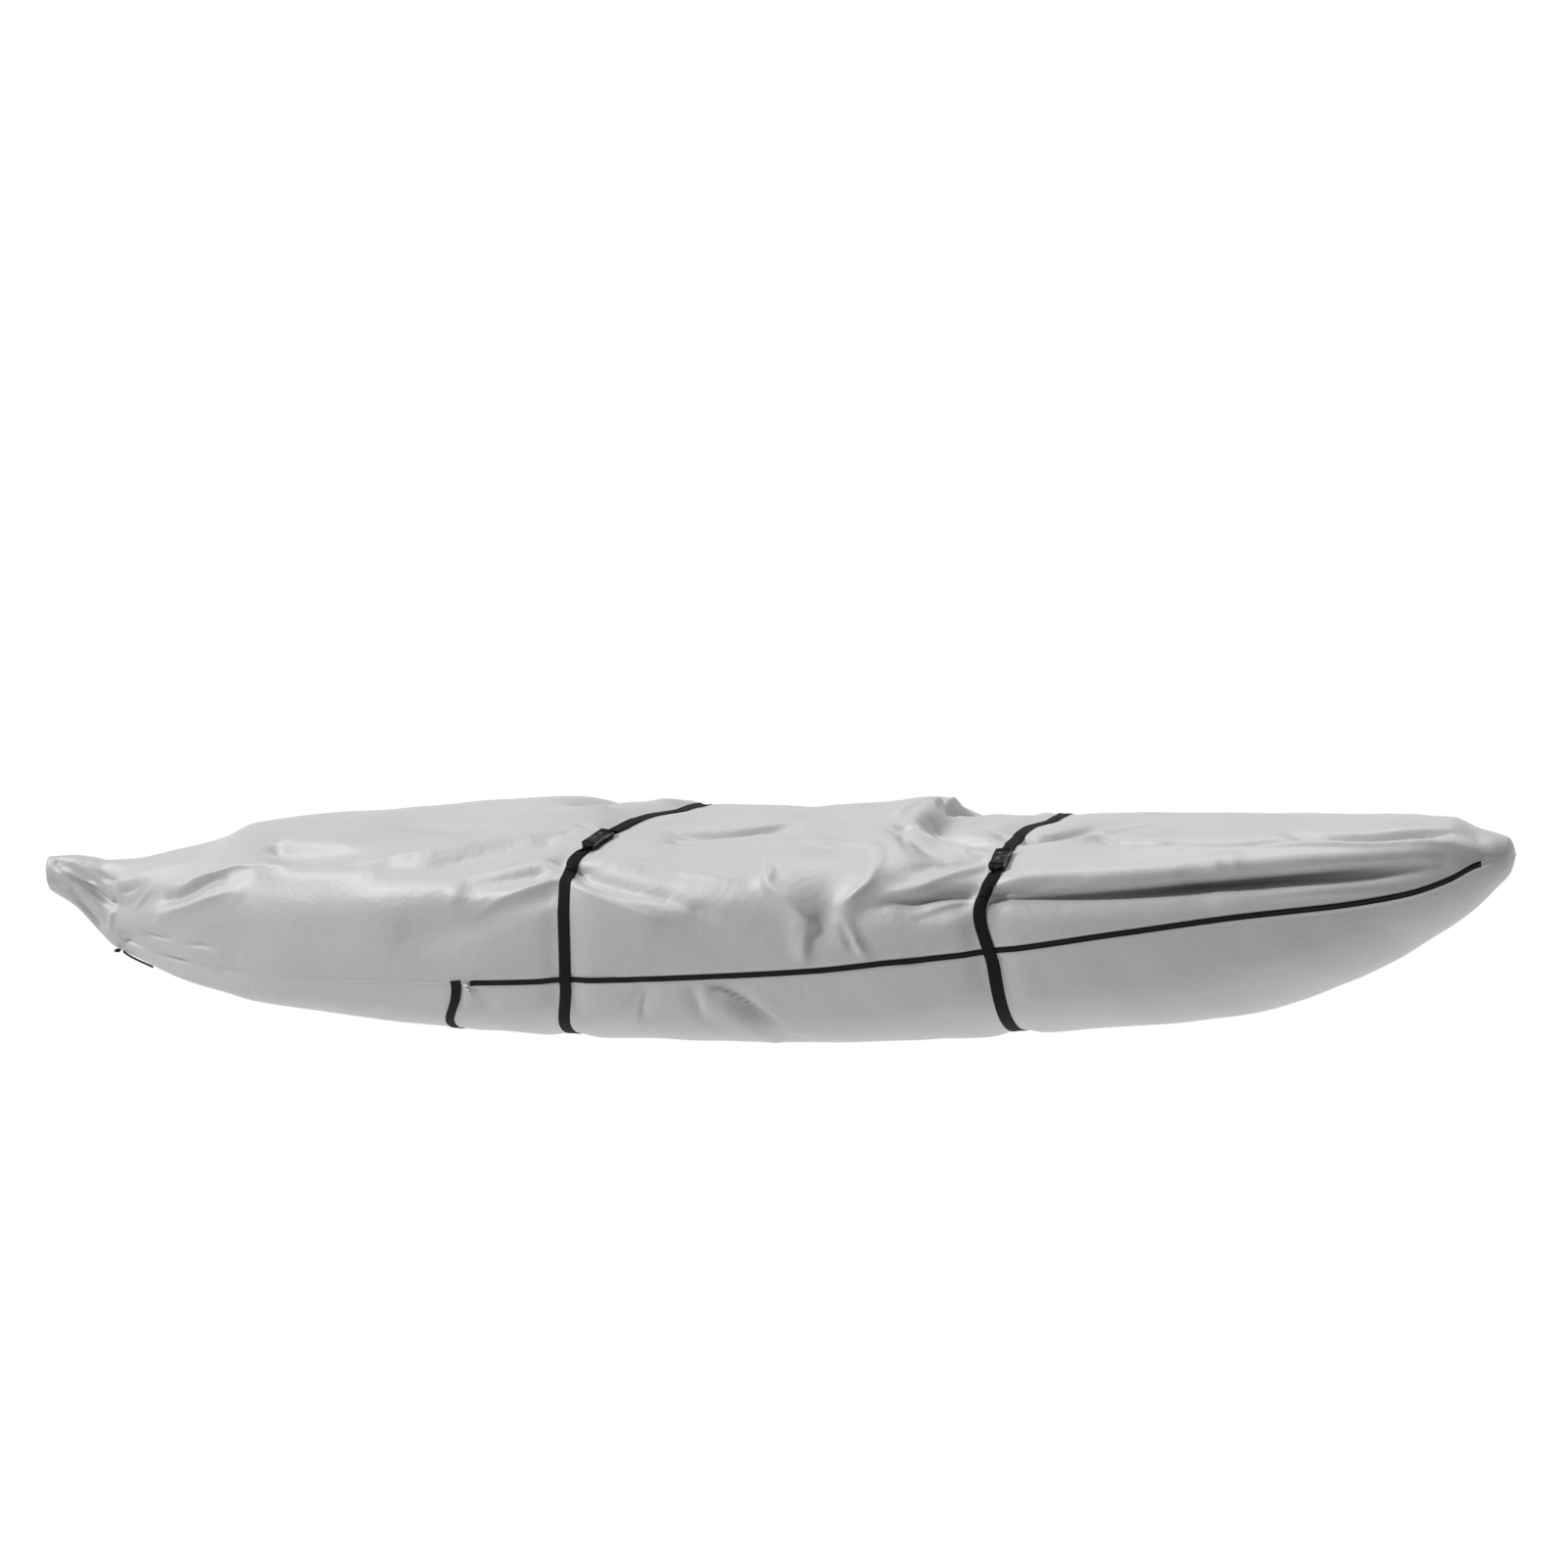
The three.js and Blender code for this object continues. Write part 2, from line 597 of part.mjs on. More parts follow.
// The rows of a webbing band on both panels, each with its girth and its pair of cloth points
function webbingRows(name) {
  const [right, left] = bandLines(name);
  const { upper, hull } = rowsOf(gridLines[right].x);
  const rowsOver = (girths, grid) =>
    girths.map((girth, n) => ({ girth, pair: [grid[right][n], grid[left][n]] }));
  const overZip = (girth) => {
    const crosses = Math.abs(girth + seamGirthAt(right)) < SEAM_BAND + 1;
    return crosses ? ZIP_THICKNESS + ZIP_CLEAR : 0;
  };
  return { upper: rowsOver(upper, upperGrid), hull: rowsOver(hull, hullGrid).slice(1, -1), overZip };
}

const raisedRow = ({ pair }, by) => pair.map((point) => lifted(point, by));
const facingIn = (row) => row.map(({ at, out }) => ({ at, out: out.clone().negate() }));

// The place and directions of a buckle, resting on the cloth at its highest spot under it
function buckleFrame(name) {
  const [right, left] = bandLines(name);
  const middleX = (gridLines[right].x + gridLines[left].x) / 2;
  const girth = BUCKLE_GIRTHS[name];
  const { at: centre, out } = clothPoint(middleX, girth);
  const quarter = BUCKLE.plugEnd / 3;
  const up = clothSurface(middleX, girth + quarter).sub(clothSurface(middleX, girth - quarter));
  const side = out.clone().cross(up).normalize();
  up.crossVectors(side, out);
  let highest = 0;
  for (const reach of [-1, -0.5, 0, 0.5, 1].map((share) => share * BUCKLE.plugEnd)) {
    for (const width of [-1, 0, 1].map((share) => share * BUCKLE.halfWidth)) {
      const spot = clothSurface(middleX + width, girth + reach).sub(centre);
      highest = Math.max(highest, spot.dot(out));
    }
  }
  const origin = centre.clone().addScaledVector(out, highest);
  const matrix = new THREE.Matrix4().makeBasis(up, side, out).setPosition(origin);
  const place = (along, width, height) => new THREE.Vector3(along, width, height).applyMatrix4(matrix);
  return { matrix, place, up, out, girth };
}

// The strap's turn round a buckle's bar, from under the bar to over it. Hand is 1 at the plug's
// end and -1 at the socket's, and both bars are as far from the buckle's middle.
function barTurn(frame, hand) {
  const inner = BUCKLE.plugEnd - BUCKLE.barWidth - WEBBING_CLEAR;
  const lowCentre = WEBBING_CLEAR + STRAP_TURN_RADIUS;
  const highCentre = BUCKLE.barHigh + WEBBING_CLEAR + WEBBING_THICKNESS - STRAP_TURN_RADIUS;
  const rows = [];
  const row = (along, height, outAlong, outHeight) => {
    const out = frame.up.clone().multiplyScalar(hand * outAlong).addScaledVector(frame.out, outHeight);
    const ends = [-HALF_WEBBING, HALF_WEBBING].map((width) => frame.place(hand * along, width, height));
    rows.push(ends.map((at) => ({ at, out })));
  };
  row(BUCKLE.plugEnd + 3, WEBBING_CLEAR, 0, 1);
  for (const [centre, from] of [[lowCentre, -90], [highCentre, 0]]) {
    for (const turn of [0, 45, 90]) {
      const angle = ((from + turn) * Math.PI) / 180;
      const along = inner - STRAP_TURN_RADIUS * Math.cos(angle);
      const height = centre + STRAP_TURN_RADIUS * Math.sin(angle);
      row(along, height, Math.cos(angle), -Math.sin(angle));
    }
  }
  row(BUCKLE.plugEnd + 0.5, highCentre + STRAP_TURN_RADIUS, 0, -1);
  return rows;
}

// A strap: its free end over the plug's bar, the way round the cover, and over the socket's bar
function strapGeometry(name, frame) {
  const { upper, hull, overZip } = webbingRows(name);
  const doubled = WEBBING_CLEAR + 2 * WEBBING_THICKNESS + STRAP_LAYER_GAP;
  const deckFrom = frame.girth + STRAP_TO_BUCKLE;
  const sideFrom = frame.girth - STRAP_TO_BUCKLE;
  const onDeck = upper.filter(({ girth }) => girth > deckFrom);
  const onSide = upper.filter(({ girth }) => girth < sideFrom);
  const plugEnd = onDeck.filter(({ girth }) => girth < deckFrom + STRAP_FREE_ENDS.plug);
  const socketEnd = onSide.filter(({ girth }) => girth > sideFrom - STRAP_FREE_ENDS.socket);
  const rows = [
    ...plugEnd.map((row) => facingIn(raisedRow(row, doubled))).reverse(),
    ...barTurn(frame, 1).reverse(),
    ...onDeck.map((row) => raisedRow(row, WEBBING_CLEAR)),
    ...hull.map((row) => raisedRow(row, WEBBING_CLEAR + overZip(row.girth))),
    ...onSide.map((row) => raisedRow(row, WEBBING_CLEAR + overZip(row.girth))),
    ...barTurn(frame, -1),
    ...socketEnd.map((row) => facingIn(raisedRow(row, doubled))).reverse(),
  ];
  return bandGeometry(rows, WEBBING_THICKNESS, true);
}

const manifold = await Module();
manifold.setup();

function solidOf(geometry) {
  const bare = geometry.clone();
  bare.deleteAttribute('normal');
  bare.deleteAttribute('uv');
  const merged = mergeVertices(bare, 1e-4);
  return new manifold.Manifold(new manifold.Mesh({
    numProp: 3,
    vertProperties: new Float32Array(merged.attributes.position.array),
    triVerts: new Uint32Array(merged.index.array),
  }));
}

function geometryFrom(solid) {
  const { vertProperties, triVerts } = solid.getMesh();
  const geometry = new THREE.BufferGeometry();
  geometry.setAttribute('position', new THREE.Float32BufferAttribute(vertProperties, 3));
  geometry.setIndex(Array.from(triVerts));
  geometry.computeVertexNormals();
  return geometry;
}

const box = (low, high) => {
  const size = high.map((value, n) => value - low[n]);
  const middle = high.map((value, n) => (value + low[n]) / 2);
  return new THREE.BoxGeometry(...size).translate(...middle);
};

// An outline seen from over the strap, with rounded corners, given its thickness
function plate(from, to, halfWidth, low, high, corner, tip = halfWidth) {
  const shape = new THREE.Shape();
  shape.moveTo(from + corner, -halfWidth);
  shape.lineTo(to - corner, -tip);
  shape.quadraticCurveTo(to, -tip, to, -tip + corner);
  shape.lineTo(to, tip - corner);
  shape.quadraticCurveTo(to, tip, to - corner, tip);
  shape.lineTo(from + corner, halfWidth);
  shape.quadraticCurveTo(from, halfWidth, from, halfWidth - corner);
  shape.lineTo(from, corner - halfWidth);
  shape.quadraticCurveTo(from, -halfWidth, from + corner, -halfWidth);
  const options = { depth: high - low, bevelEnabled: false, curveSegments: 4 };
  return new THREE.ExtrudeGeometry(shape, options).translate(0, 0, low);
}

function cutAll(solid, cutters) {
  return cutters.reduce((left, cutter) => left.subtract(solidOf(cutter)), solid);
}

// The socket half: a sleeve with a cavity, side windows, and a slot beside its bar
function socketGeometry() {
  const b = BUCKLE;
  const slotFrom = b.socketEnd + b.barWidth;
  const slotTo = slotFrom + b.slotWidth;
  const body = solidOf(plate(b.socketEnd, b.mouth, b.halfWidth, b.low, b.high, b.corner));
  const wide = b.halfWidth + 1;
  return geometryFrom(cutAll(body, [
    box([b.cavityEnd, -b.cavityHalfWidth, b.cavityLow], [b.mouth + 1, b.cavityHalfWidth, b.cavityHigh]),
    box([b.windowFrom, -wide, b.cavityLow + 0.2], [b.windowTo, wide, b.cavityHigh - 0.2]),
    box([slotFrom, -b.slotHalfLength, b.low - 1], [slotTo, b.slotHalfLength, b.high + 1]),
    box([b.socketEnd - 1, -wide, b.low - 1], [slotTo, wide, b.barLow]),
    box([b.socketEnd - 1, -wide, b.barHigh], [slotTo, wide, b.high + 1]),
  ]));
}

// The plug half: a block with its bar and slot, and a guide and two hooked arms in the socket
function plugGeometry() {
  const b = BUCKLE;
  const base = b.mouth + b.joint;
  const slotTo = b.plugEnd - b.barWidth;
  const slotFrom = slotTo - b.slotWidth;
  const wide = b.halfWidth + 1;
  const body = cutAll(solidOf(plate(base, b.plugEnd, b.halfWidth, b.low, b.high, b.corner)), [
    box([slotFrom, -b.slotHalfLength, b.low - 1], [slotTo, b.slotHalfLength, b.high + 1]),
    box([slotFrom, -wide, b.low - 1], [b.plugEnd + 1, wide, b.barLow]),
    box([slotFrom, -wide, b.barHigh], [b.plugEnd + 1, wide, b.high + 1]),
  ]);
  const guide = plate(b.prongEnd, base + 2, b.guideHalfWidth, b.prongLow, b.prongHigh, 1.5);
  const arms = [1, -1].map((hand) => {
    const arm = new THREE.Shape();
    arm.moveTo(base + 2, hand * b.armInner);
    arm.lineTo(base + 2, hand * b.armOuter);
    arm.lineTo(b.windowTo - 2, hand * b.armOuter);
    arm.lineTo(b.windowTo - 2.4, hand * b.hookOuter);
    arm.lineTo(b.windowFrom + 3, hand * b.hookOuter);
    arm.lineTo(b.prongEnd, hand * (b.armInner + 2));
    arm.lineTo(b.prongEnd + 1, hand * b.armInner);
    const depth = b.prongHigh - b.prongLow;
    return new THREE.ExtrudeGeometry(arm, { depth, bevelEnabled: false }).translate(0, 0, b.prongLow);
  });
  return geometryFrom([guide, ...arms].reduce((joined, piece) => joined.add(solidOf(piece)), body));
}

// Rows of the zip's tape and teeth, which lie over the near seam between the panels
function zipRows() {
  const seamRow = hullGrid[0].length - 1;
  const reach = ZIP_HALF_WIDTH / SEAM_BAND;
  const across = (line) => {
    const seam = upperGrid[line][0];
    const toward = (point) => ({
      at: seam.at.clone().lerp(point.at, reach),
      out: seam.out.clone().lerp(point.out, reach).normalize(),
    });
    return [toward(hullGrid[line][seamRow - 1]), seam, toward(upperGrid[line][1])];
  };
  const between = (x) => {
    const after = gridLines.findIndex((line) => line.x > x);
    const share = (x - gridLines[after - 1].x) / (gridLines[after].x - gridLines[after - 1].x);
    const before = across(after - 1);
    return across(after).map(({ at, out }, n) => ({
      at: before[n].at.clone().lerp(at, share),
      out: before[n].out.clone().lerp(out, share).normalize(),
    }));
  };
  const inside = gridLines
    .map((line, n) => ({ x: line.x, n }))
    .filter(({ x }) => x > ZIP_FROM_X && x < ZIP_TO_X)
    .map(({ n }) => across(n));
  return [between(ZIP_FROM_X), ...inside, between(ZIP_TO_X)];
}

function frameOnSeam(x, height) {
  const girth = -seamGirth(x);
  const { at, out } = clothPoint(x, girth);
  const lengthwise = clothSurface(x + 6, girth).sub(clothSurface(x - 6, girth)).normalize();
  const across = out.clone().cross(lengthwise).normalize();
  lengthwise.crossVectors(across, out);
  return new THREE.Matrix4().makeBasis(lengthwise, across, out).setPosition(at.addScaledVector(out, height));
}

const zipLine = zipRows().map((row) => row.map((point) => lifted(point, ZIP_CLEAR)));
addPiece('zip_tape', bandGeometry(zipLine, ZIP_THICKNESS, false), blackMaterial(WEBBING_BLACK, 0.8));

const silverMaterial = () =>
  new THREE.MeshStandardMaterial({ color: SLIDER_SILVER, roughness: 0.35, metalness: 0.9 });

function sliderGeometry() {
  const half = SLIDER_LENGTH / 2;
  const narrow = SLIDER_WIDTH / 2 - SLIDER_TIP;
  const slider = plate(-half, half, narrow, 0, SLIDER_HEIGHT, SLIDER_CORNER, SLIDER_WIDTH / 2);
  return slider.applyMatrix4(frameOnSeam(SLIDER_X, SLIDER_CLEAR));
}

// The pull hangs down from the slider's lower edge
function pullGeometry() {
  const half = PULL_WIDTH / 2;
  const pull = plate(-PULL_LENGTH, 0, half, 0, PULL_THICKNESS, PULL_CORNER, half - 1);
  pull.rotateZ(Math.PI / 2).translate(0, -SLIDER_WIDTH / 2 - 1, 0);
  return pull.applyMatrix4(frameOnSeam(SLIDER_X, PULL_CLEAR));
}

addPiece('zip_slider', sliderGeometry(), silverMaterial());
addPiece('zip_pull', pullGeometry(), silverMaterial());

// The tab's rows run from past the keel up the near side to just over the seam
function tabGeometry() {
  const { upper, hull } = webbingRows('tab');
  const rows = [...hull.slice(HULL_FAR_CELLS - 1), ...upper.slice(0, 2)];
  const raised = rows.map((row) => raisedRow(row, WEBBING_CLEAR));
  return bandGeometry(raised, WEBBING_THICKNESS, true);
}

addPiece('webbing_tab', tabGeometry(), blackMaterial(WEBBING_BLACK, 0.85));

for (const [n, name] of ['strap1', 'strap2'].entries()) {
  const frame = buckleFrame(name);
  addPiece(`strap_${n + 1}`, strapGeometry(name, frame), blackMaterial(WEBBING_BLACK, 0.85));
  for (const [half, geometry] of [['socket', socketGeometry()], ['plug', plugGeometry()]]) {
    geometry.applyMatrix4(frame.matrix);
    addPiece(`buckle_${n + 1}_${half}`, geometry, blackMaterial(PLASTIC_BLACK, 0.4));
  }
}

function cordGeometry() {
  const route = new THREE.CatmullRomCurve3(CORD_ROUTE.map((point) => new THREE.Vector3(...point)));
  const section = new THREE.Shape();
  section.absarc(0, 0, CORD_DIAMETER / 2, 0, 2 * Math.PI);
  const options = { steps: CORD_STEPS, curveSegments: 8, bevelEnabled: false, extrudePath: route };
  return new THREE.ExtrudeGeometry(section, options);
}

addPiece('drawcord', cordGeometry(), blackMaterial(WEBBING_BLACK, 0.75));
const knot = new THREE.TorusKnotGeometry(CORD_KNOT_RADIUS, CORD_DIAMETER / 2 - 0.5, 36, 6);
addPiece('drawcord_knot', knot, blackMaterial(WEBBING_BLACK, 0.75)).position.set(...CORD_KNOT_AT);

cover.position.z = -DECK_UNDERSIDE;

export default cover;
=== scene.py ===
"""Kayak storage cover: silver coated cloth, zipped along one side and strapped with black webbing.

Every length in the tables is in millimetres. Heights are over the level of the keel a little
behind mid-length, and girth is the distance along the cloth from the deck's centre line, less
than 0 on the side with the zip. Pieces are made in metres in the shared frame.
"""
import math

import bmesh
import bpy
import numpy as np
from mathutils import Matrix, Vector


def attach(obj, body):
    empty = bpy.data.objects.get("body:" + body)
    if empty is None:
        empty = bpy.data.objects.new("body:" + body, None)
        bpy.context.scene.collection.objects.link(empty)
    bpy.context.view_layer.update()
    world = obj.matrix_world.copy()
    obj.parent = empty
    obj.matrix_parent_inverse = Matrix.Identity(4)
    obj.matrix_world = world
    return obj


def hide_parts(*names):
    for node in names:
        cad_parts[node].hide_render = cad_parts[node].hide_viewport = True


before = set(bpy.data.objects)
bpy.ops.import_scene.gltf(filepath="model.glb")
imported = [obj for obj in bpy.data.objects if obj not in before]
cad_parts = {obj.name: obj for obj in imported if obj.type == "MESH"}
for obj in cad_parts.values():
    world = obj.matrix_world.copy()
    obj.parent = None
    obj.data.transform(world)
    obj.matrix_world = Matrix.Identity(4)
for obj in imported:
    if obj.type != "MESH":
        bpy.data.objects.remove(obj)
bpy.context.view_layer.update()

MM = 0.001
TAIL_X = -1600
BOW_X = 1600
BOW_CLOSE_X = 1594
BOW_HEIGHT = 348
DECK_UNDERSIDE = 446

CLOTH = 1.0
HEM_WIDTH = 10
HEM_RAISE = 1.1
HEM_EDGE = 0.7
HEM_GROOVE = 0.5
HEM_PAST_ZIP = 14
HEM_MOST_SHARE = 0.15
INNER_CLEAR = 0.6

WEBBING_WIDTH = 25
HALF_WEBBING = WEBBING_WIDTH / 2
WEBBING_THICKNESS = 1.5
WEBBING_CLEAR = 0.5
WEBBING_EDGE = 0.5
STRAP_PRESS = 7
STRAP_PRESS_SPREAD = 30
STRAP_CALM_SHARE = 0.85
STRAP_CALM_SPREAD = 24
STRAP_SHIFT_SPREAD = 260
TAB_SHIFT_SPREAD = 108
FULL_SHIFT_GIRTH = 400

ZIP_FROM_X = -437
ZIP_TO_X = 1540
ZIP_HALF_WIDTH = 6
ZIP_EDGE = 0.3
ZIP_STEP = 5.0
ZIP_TAPE_LOW = 0.15
ZIP_TAPE_TOP = 0.9
ZIP_CALM_SHARE = 0.75
ZIP_CALM_SPREAD = 28
SLIDER_X = -447

BUCKLE_GIRTHS = {"strap1": -222, "strap2": -250}
BUCKLE_HALF_WIDTH = 17
BUCKLE_HALF_LENGTH = 33
BUCKLE_AIM = 11
BUCKLE_LOW = 1
BUCKLE_TOP = 10.2
BUCKLE_BEVEL = 0.7
BUCKLE_CROWN = 0.4
CROWN_FROM_HEIGHT = 9
PRONGS_LOW = 3.9
PRONGS_TOP = 7.7
CUT_LOW = -1
CUT_TOP = 13
BAR_WIDTH = 6
BAR_LOW = 3
BAR_HIGH = 8
BAR_CLEAR = 0.6
SLOT_WIDTH = 5
SLOT_HALF_LENGTH = 13.5
STRAP_TURN_RADIUS = 2.4
STRAP_TURN_STEPS = 6
TURN_FROM_PAST_END = 3
TURN_TO_PAST_END = 0.5
STRAP_LAYER_GAP = 0.4
STRAP_TO_BUCKLE = 42
PLUG_FREE_END = 95
SOCKET_FREE_END = 60
TAB_PAST_KEEL = 62
TAB_OVER_SEAM = 9
STRIP_STEP = 6

CORD_DIAMETER = 5
CORD_KNOT_AT = (-1433.4, -30, 153.4)
KNOT_RADIUS = 4.0
KNOT_TUBE = 2.0
KNOT_STEPS = 72
KNOT_SIDES = 10
CORD_ROUTE = [
    (-1421.6, -26.4, 150.8), (-1417, -25, 146.2), (-1412.5, -23.4, 142), (-1407.5, -21.8, 138.1),
    (-1402.5, -20.4, 134.6), (-1397.5, -19.2, 131.5), (-1392.5, -18.2, 128.6),
    (-1387.5, -17.2, 125.9), (-1382.5, -16.4, 123.3), (-1377.5, -15.6, 120.9),
    (-1372.5, -15, 118.5), (-1367.5, -14.6, 116.2), (-1362.5, -14.4, 113.9), (-1357.5, -14.4, 111.6),
]

# Columns: x, keel, beam, crown, half width, deck power, hull power, seam
STATIONS = [
    (-1600, 284, 324, 364, 24, 2.0, 2.0, 312),
    (-1540, 246, 305, 366, 30, 2.0, 2.0, 285),
    (-1490, 190, 278, 361, 32, 2.0, 2.0, 245),
    (-1455, 155, 256, 354, 36, 2.0, 2.0, 215),
    (-1400, 132, 246, 355, 62, 2.0, 2.0, 190),
    (-1280, 88, 243, 373, 124, 2.0, 2.1, 165),
    (-1160, 61, 246, 403, 178, 2.0, 2.3, 153),
    (-1073, 45, 252, 437, 212, 2.0, 2.4, 150),
    (-1000, 40, 257, 444, 234, 2.0, 2.5, 150),
    (-850, 29, 268, 453, 275, 2.1, 2.7, 150),
    (-600, 14, 282, 463, 320, 2.2, 3.0, 155),
    (-300, 0, 290, 471, 345, 2.3, 3.1, 165),
    (0, -5, 295, 442, 355, 2.4, 3.1, 178),
    (300, -8, 300, 447, 350, 2.4, 3.1, 195),
    (440, -6, 303, 455, 341, 2.4, 3.0, 210),
    (520, 1, 305, 424, 336, 2.4, 2.9, 217),
    (640, 9, 308, 420, 326, 2.5, 2.8, 228),
    (900, 21, 318, 413, 290, 2.8, 2.5, 259),
    (1120, 45, 328, 412, 245, 3.0, 2.2, 281),
    (1293, 104, 338, 416, 198, 3.0, 2.0, 291),
    (1404, 165, 344, 418, 156, 2.9, 1.9, 302),
    (1480, 210, 348, 415, 118, 2.6, 1.9, 322),
    (1533, 252, 350, 394, 84, 2.3, 2.0, 345),
    (1570, 290, 349, 385, 54, 2.2, 2.0, 350),
    (1590, 314, 348, 377, 32, 2.0, 2.0, 350),
    (1600, 346, 348, 350, 2, 2.0, 2.0, 348),
]

# Each webbing band lies near x, moved along the cover by its table of girth and shift
BANDS = {
    "strap1": (-220, [
        (-830, -70), (-700, -50), (-566, -14), (-404, -2), (-300, 2), (-230, 32), (-167, 54),
        (-34, 84), (60, 122), (200, 120), (350, 100), (560, 40), (700, -20), (830, -70),
    ]),
    "strap2": (635, [
        (-800, 15), (-662, 12), (-494, 8), (-383, -12), (-341, -4), (-285, 14), (-181, 20),
        (-23, 28), (60, 58), (200, 58), (350, 40), (560, 22), (800, 15),
    ]),
    "tab": (-472, [(-830, -58), (-675, -42), (-548, 0), (560, 0), (675, -42), (830, -58)]),
}

# Columns: x and girth at the start, by the way and at the end, then width and depth at the
# start and the end. A depth under 0 is a trough.
FOLDS = [
    # stern quarter, zip side
    (-950, -165, -855, -222, -725, -246, 26, 32, -17, -7),
    (-945, -212, -760, -268, -555, -280, 26, 30, 11, 4),
    (-1230, -176, -1140, -205, -1030, -222, 20, 26, -14, -5),
    (-1212, -158, -1140, -180, -1035, -198, 20, 26, 8, 5),
    (-1250, -198, -1160, -228, -1020, -250, 20, 28, 9, 5),
    # pleats that run from the drawn-in end along the body
    (-1410, -190, -1230, -270, -1040, -386, 16, 30, -9, -4),
    (-1400, -212, -1250, -310, -1050, -432, 16, 28, -9, -3),
    (-1400, -120, -1280, -150, -1180, -160, 18, 28, -8, -3),
    (-1390, -70, -1270, -80, -1140, -75, 18, 34, 8, 3),
    # pleats of the tail
    (-1570, -24, -1492, -64, -1428, -106, 12, 16, -5, -7),
    (-1555, -46, -1490, -90, -1425, -132, 12, 16, 4, 6),
    (-1530, -90, -1504, -124, -1478, -153, 12, 14, -4, -6),
    (-1580, 20, -1490, 60, -1420, 104, 12, 16, -4, -7),
    (-1540, 60, -1490, 100, -1430, 140, 12, 16, 4, 6),
    # pulled towards the first strap
    (-630, -278, -440, -286, -292, -244, 32, 24, -8, -14),
    (-430, -356, -360, -350, -290, -338, 26, 22, -7, -10),
    (-455, -370, -340, -362, -225, -346, 24, 22, 7, 10),
    (-560, -440, -400, -420, -260, -380, 40, 28, -5, -8),
    (-206, -355, -150, -378, -40, -424, 24, 30, 12, 4),
    (-196, -330, -120, -350, -10, -372, 24, 34, -13, -4),
    (-240, -60, -300, -90, -420, -110, 30, 46, 9, 3),
    # middle of the deck and side
    (-20, -193, 110, -180, 195, -156, 24, 24, -13, -9),
    (-20, -232, 90, -224, 190, -205, 28, 28, 7, 5),
    (320, -232, 332, -330, 318, -430, 78, 34, -20, -8),
    (204, -336, 258, -385, 290, -420, 22, 22, 9, 8),
    (270, -434, 270, -462, 275, -494, 20, 18, 7, 5),
    (352, -430, 374, -460, 396, -490, 18, 18, 8, 5),
    (425, -328, 394, -362, 366, -394, 24, 22, 7, 6),
    # raised peak before the second strap
    (468, 30, 455, -80, 440, -146, 34, 26, 13, 4),
    (430, -160, 500, -212, 600, -236, 24, 26, -15, -9),
    (504, -96, 540, -66, 572, -40, 30, 24, -17, -8),
    (500, -150, 545, -150, 596, -170, 26, 26, 8, 6),
    # pulled towards the second strap, under the gunwale
    (405, -402, 520, -376, 604, -354, 26, 24, -6, -17),
    (420, -436, 520, -412, 610, -396, 30, 26, 3, 8),
    # long fold under the gunwale to the bow
    (660, -352, 866, -334, 1030, -296, 24, 28, -19, -17),
    (1030, -296, 1250, -246, 1470, -164, 28, 18, -17, -5),
    (680, -312, 900, -284, 1080, -240, 34, 34, 9, 8),
    (1080, -240, 1260, -205, 1440, -148, 34, 22, 8, 4),
    # deck near the bow
    (690, -202, 770, -155, 850, -112, 26, 26, -11, -6),
    (980, -152, 1230, -134, 1530, -50, 26, 18, -10, -4),
    (672, -222, 800, -134, 925, -64, 28, 28, 9, 6),
    (905, -206, 1150, -164, 1520, -80, 26, 20, 9, 4),
    # hull panel, zip side
    (-60, -566, -92, -630, -115, -692, 20, 22, -6, -3),
    (40, -572, 44, -600, 48, -632, 20, 20, -7, -3),
    (86, -562, 150, -610, 214, -748, 20, 22, -12, -8),
    (60, -590, 120, -640, 170, -740, 26, 26, 6, 4),
    (-420, -600, -430, -660, -440, -730, 26, 26, -5, -3),
    # far side
    (-1400, 190, -1230, 280, -1040, 400, 16, 30, -9, -4),
    (-300, 40, -280, 130, -262, 240, 46, 42, -26, -20),
    (-150, 110, -110, 180, -100, 250, 30, 30, 10, 9),
    (480, 100, 530, 170, 590, 225, 40, 42, -34, -18),
    (-1240, 190, -1120, 214, -1000, 226, 22, 28, -12, -5),
    (-900, 250, -700, 290, -480, 300, 30, 34, -12, -6),
    (-640, 350, -420, 330, -150, 322, 34, 26, -8, -14),
    (-80, 345, 60, 372, 210, 420, 26, 32, -13, -5),
    (-90, 380, 40, 410, 170, 470, 26, 30, 9, 4),
    (250, 250, 300, 340, 280, 440, 60, 34, -14, -7),
    (420, 380, 540, 360, 650, 340, 30, 26, -7, -15),
    (720, 345, 940, 325, 1180, 262, 26, 28, -17, -13),
    (1180, 262, 1330, 222, 1470, 160, 26, 18, -12, -5),
    (760, 290, 960, 268, 1200, 215, 34, 30, 9, 6),
    (900, 130, 1150, 120, 1450, 70, 28, 22, -9, -4),
    (-60, 160, 120, 150, 330, 170, 30, 30, -9, -6),
    (120, 600, 170, 660, 210, 740, 24, 26, -8, -5),
]

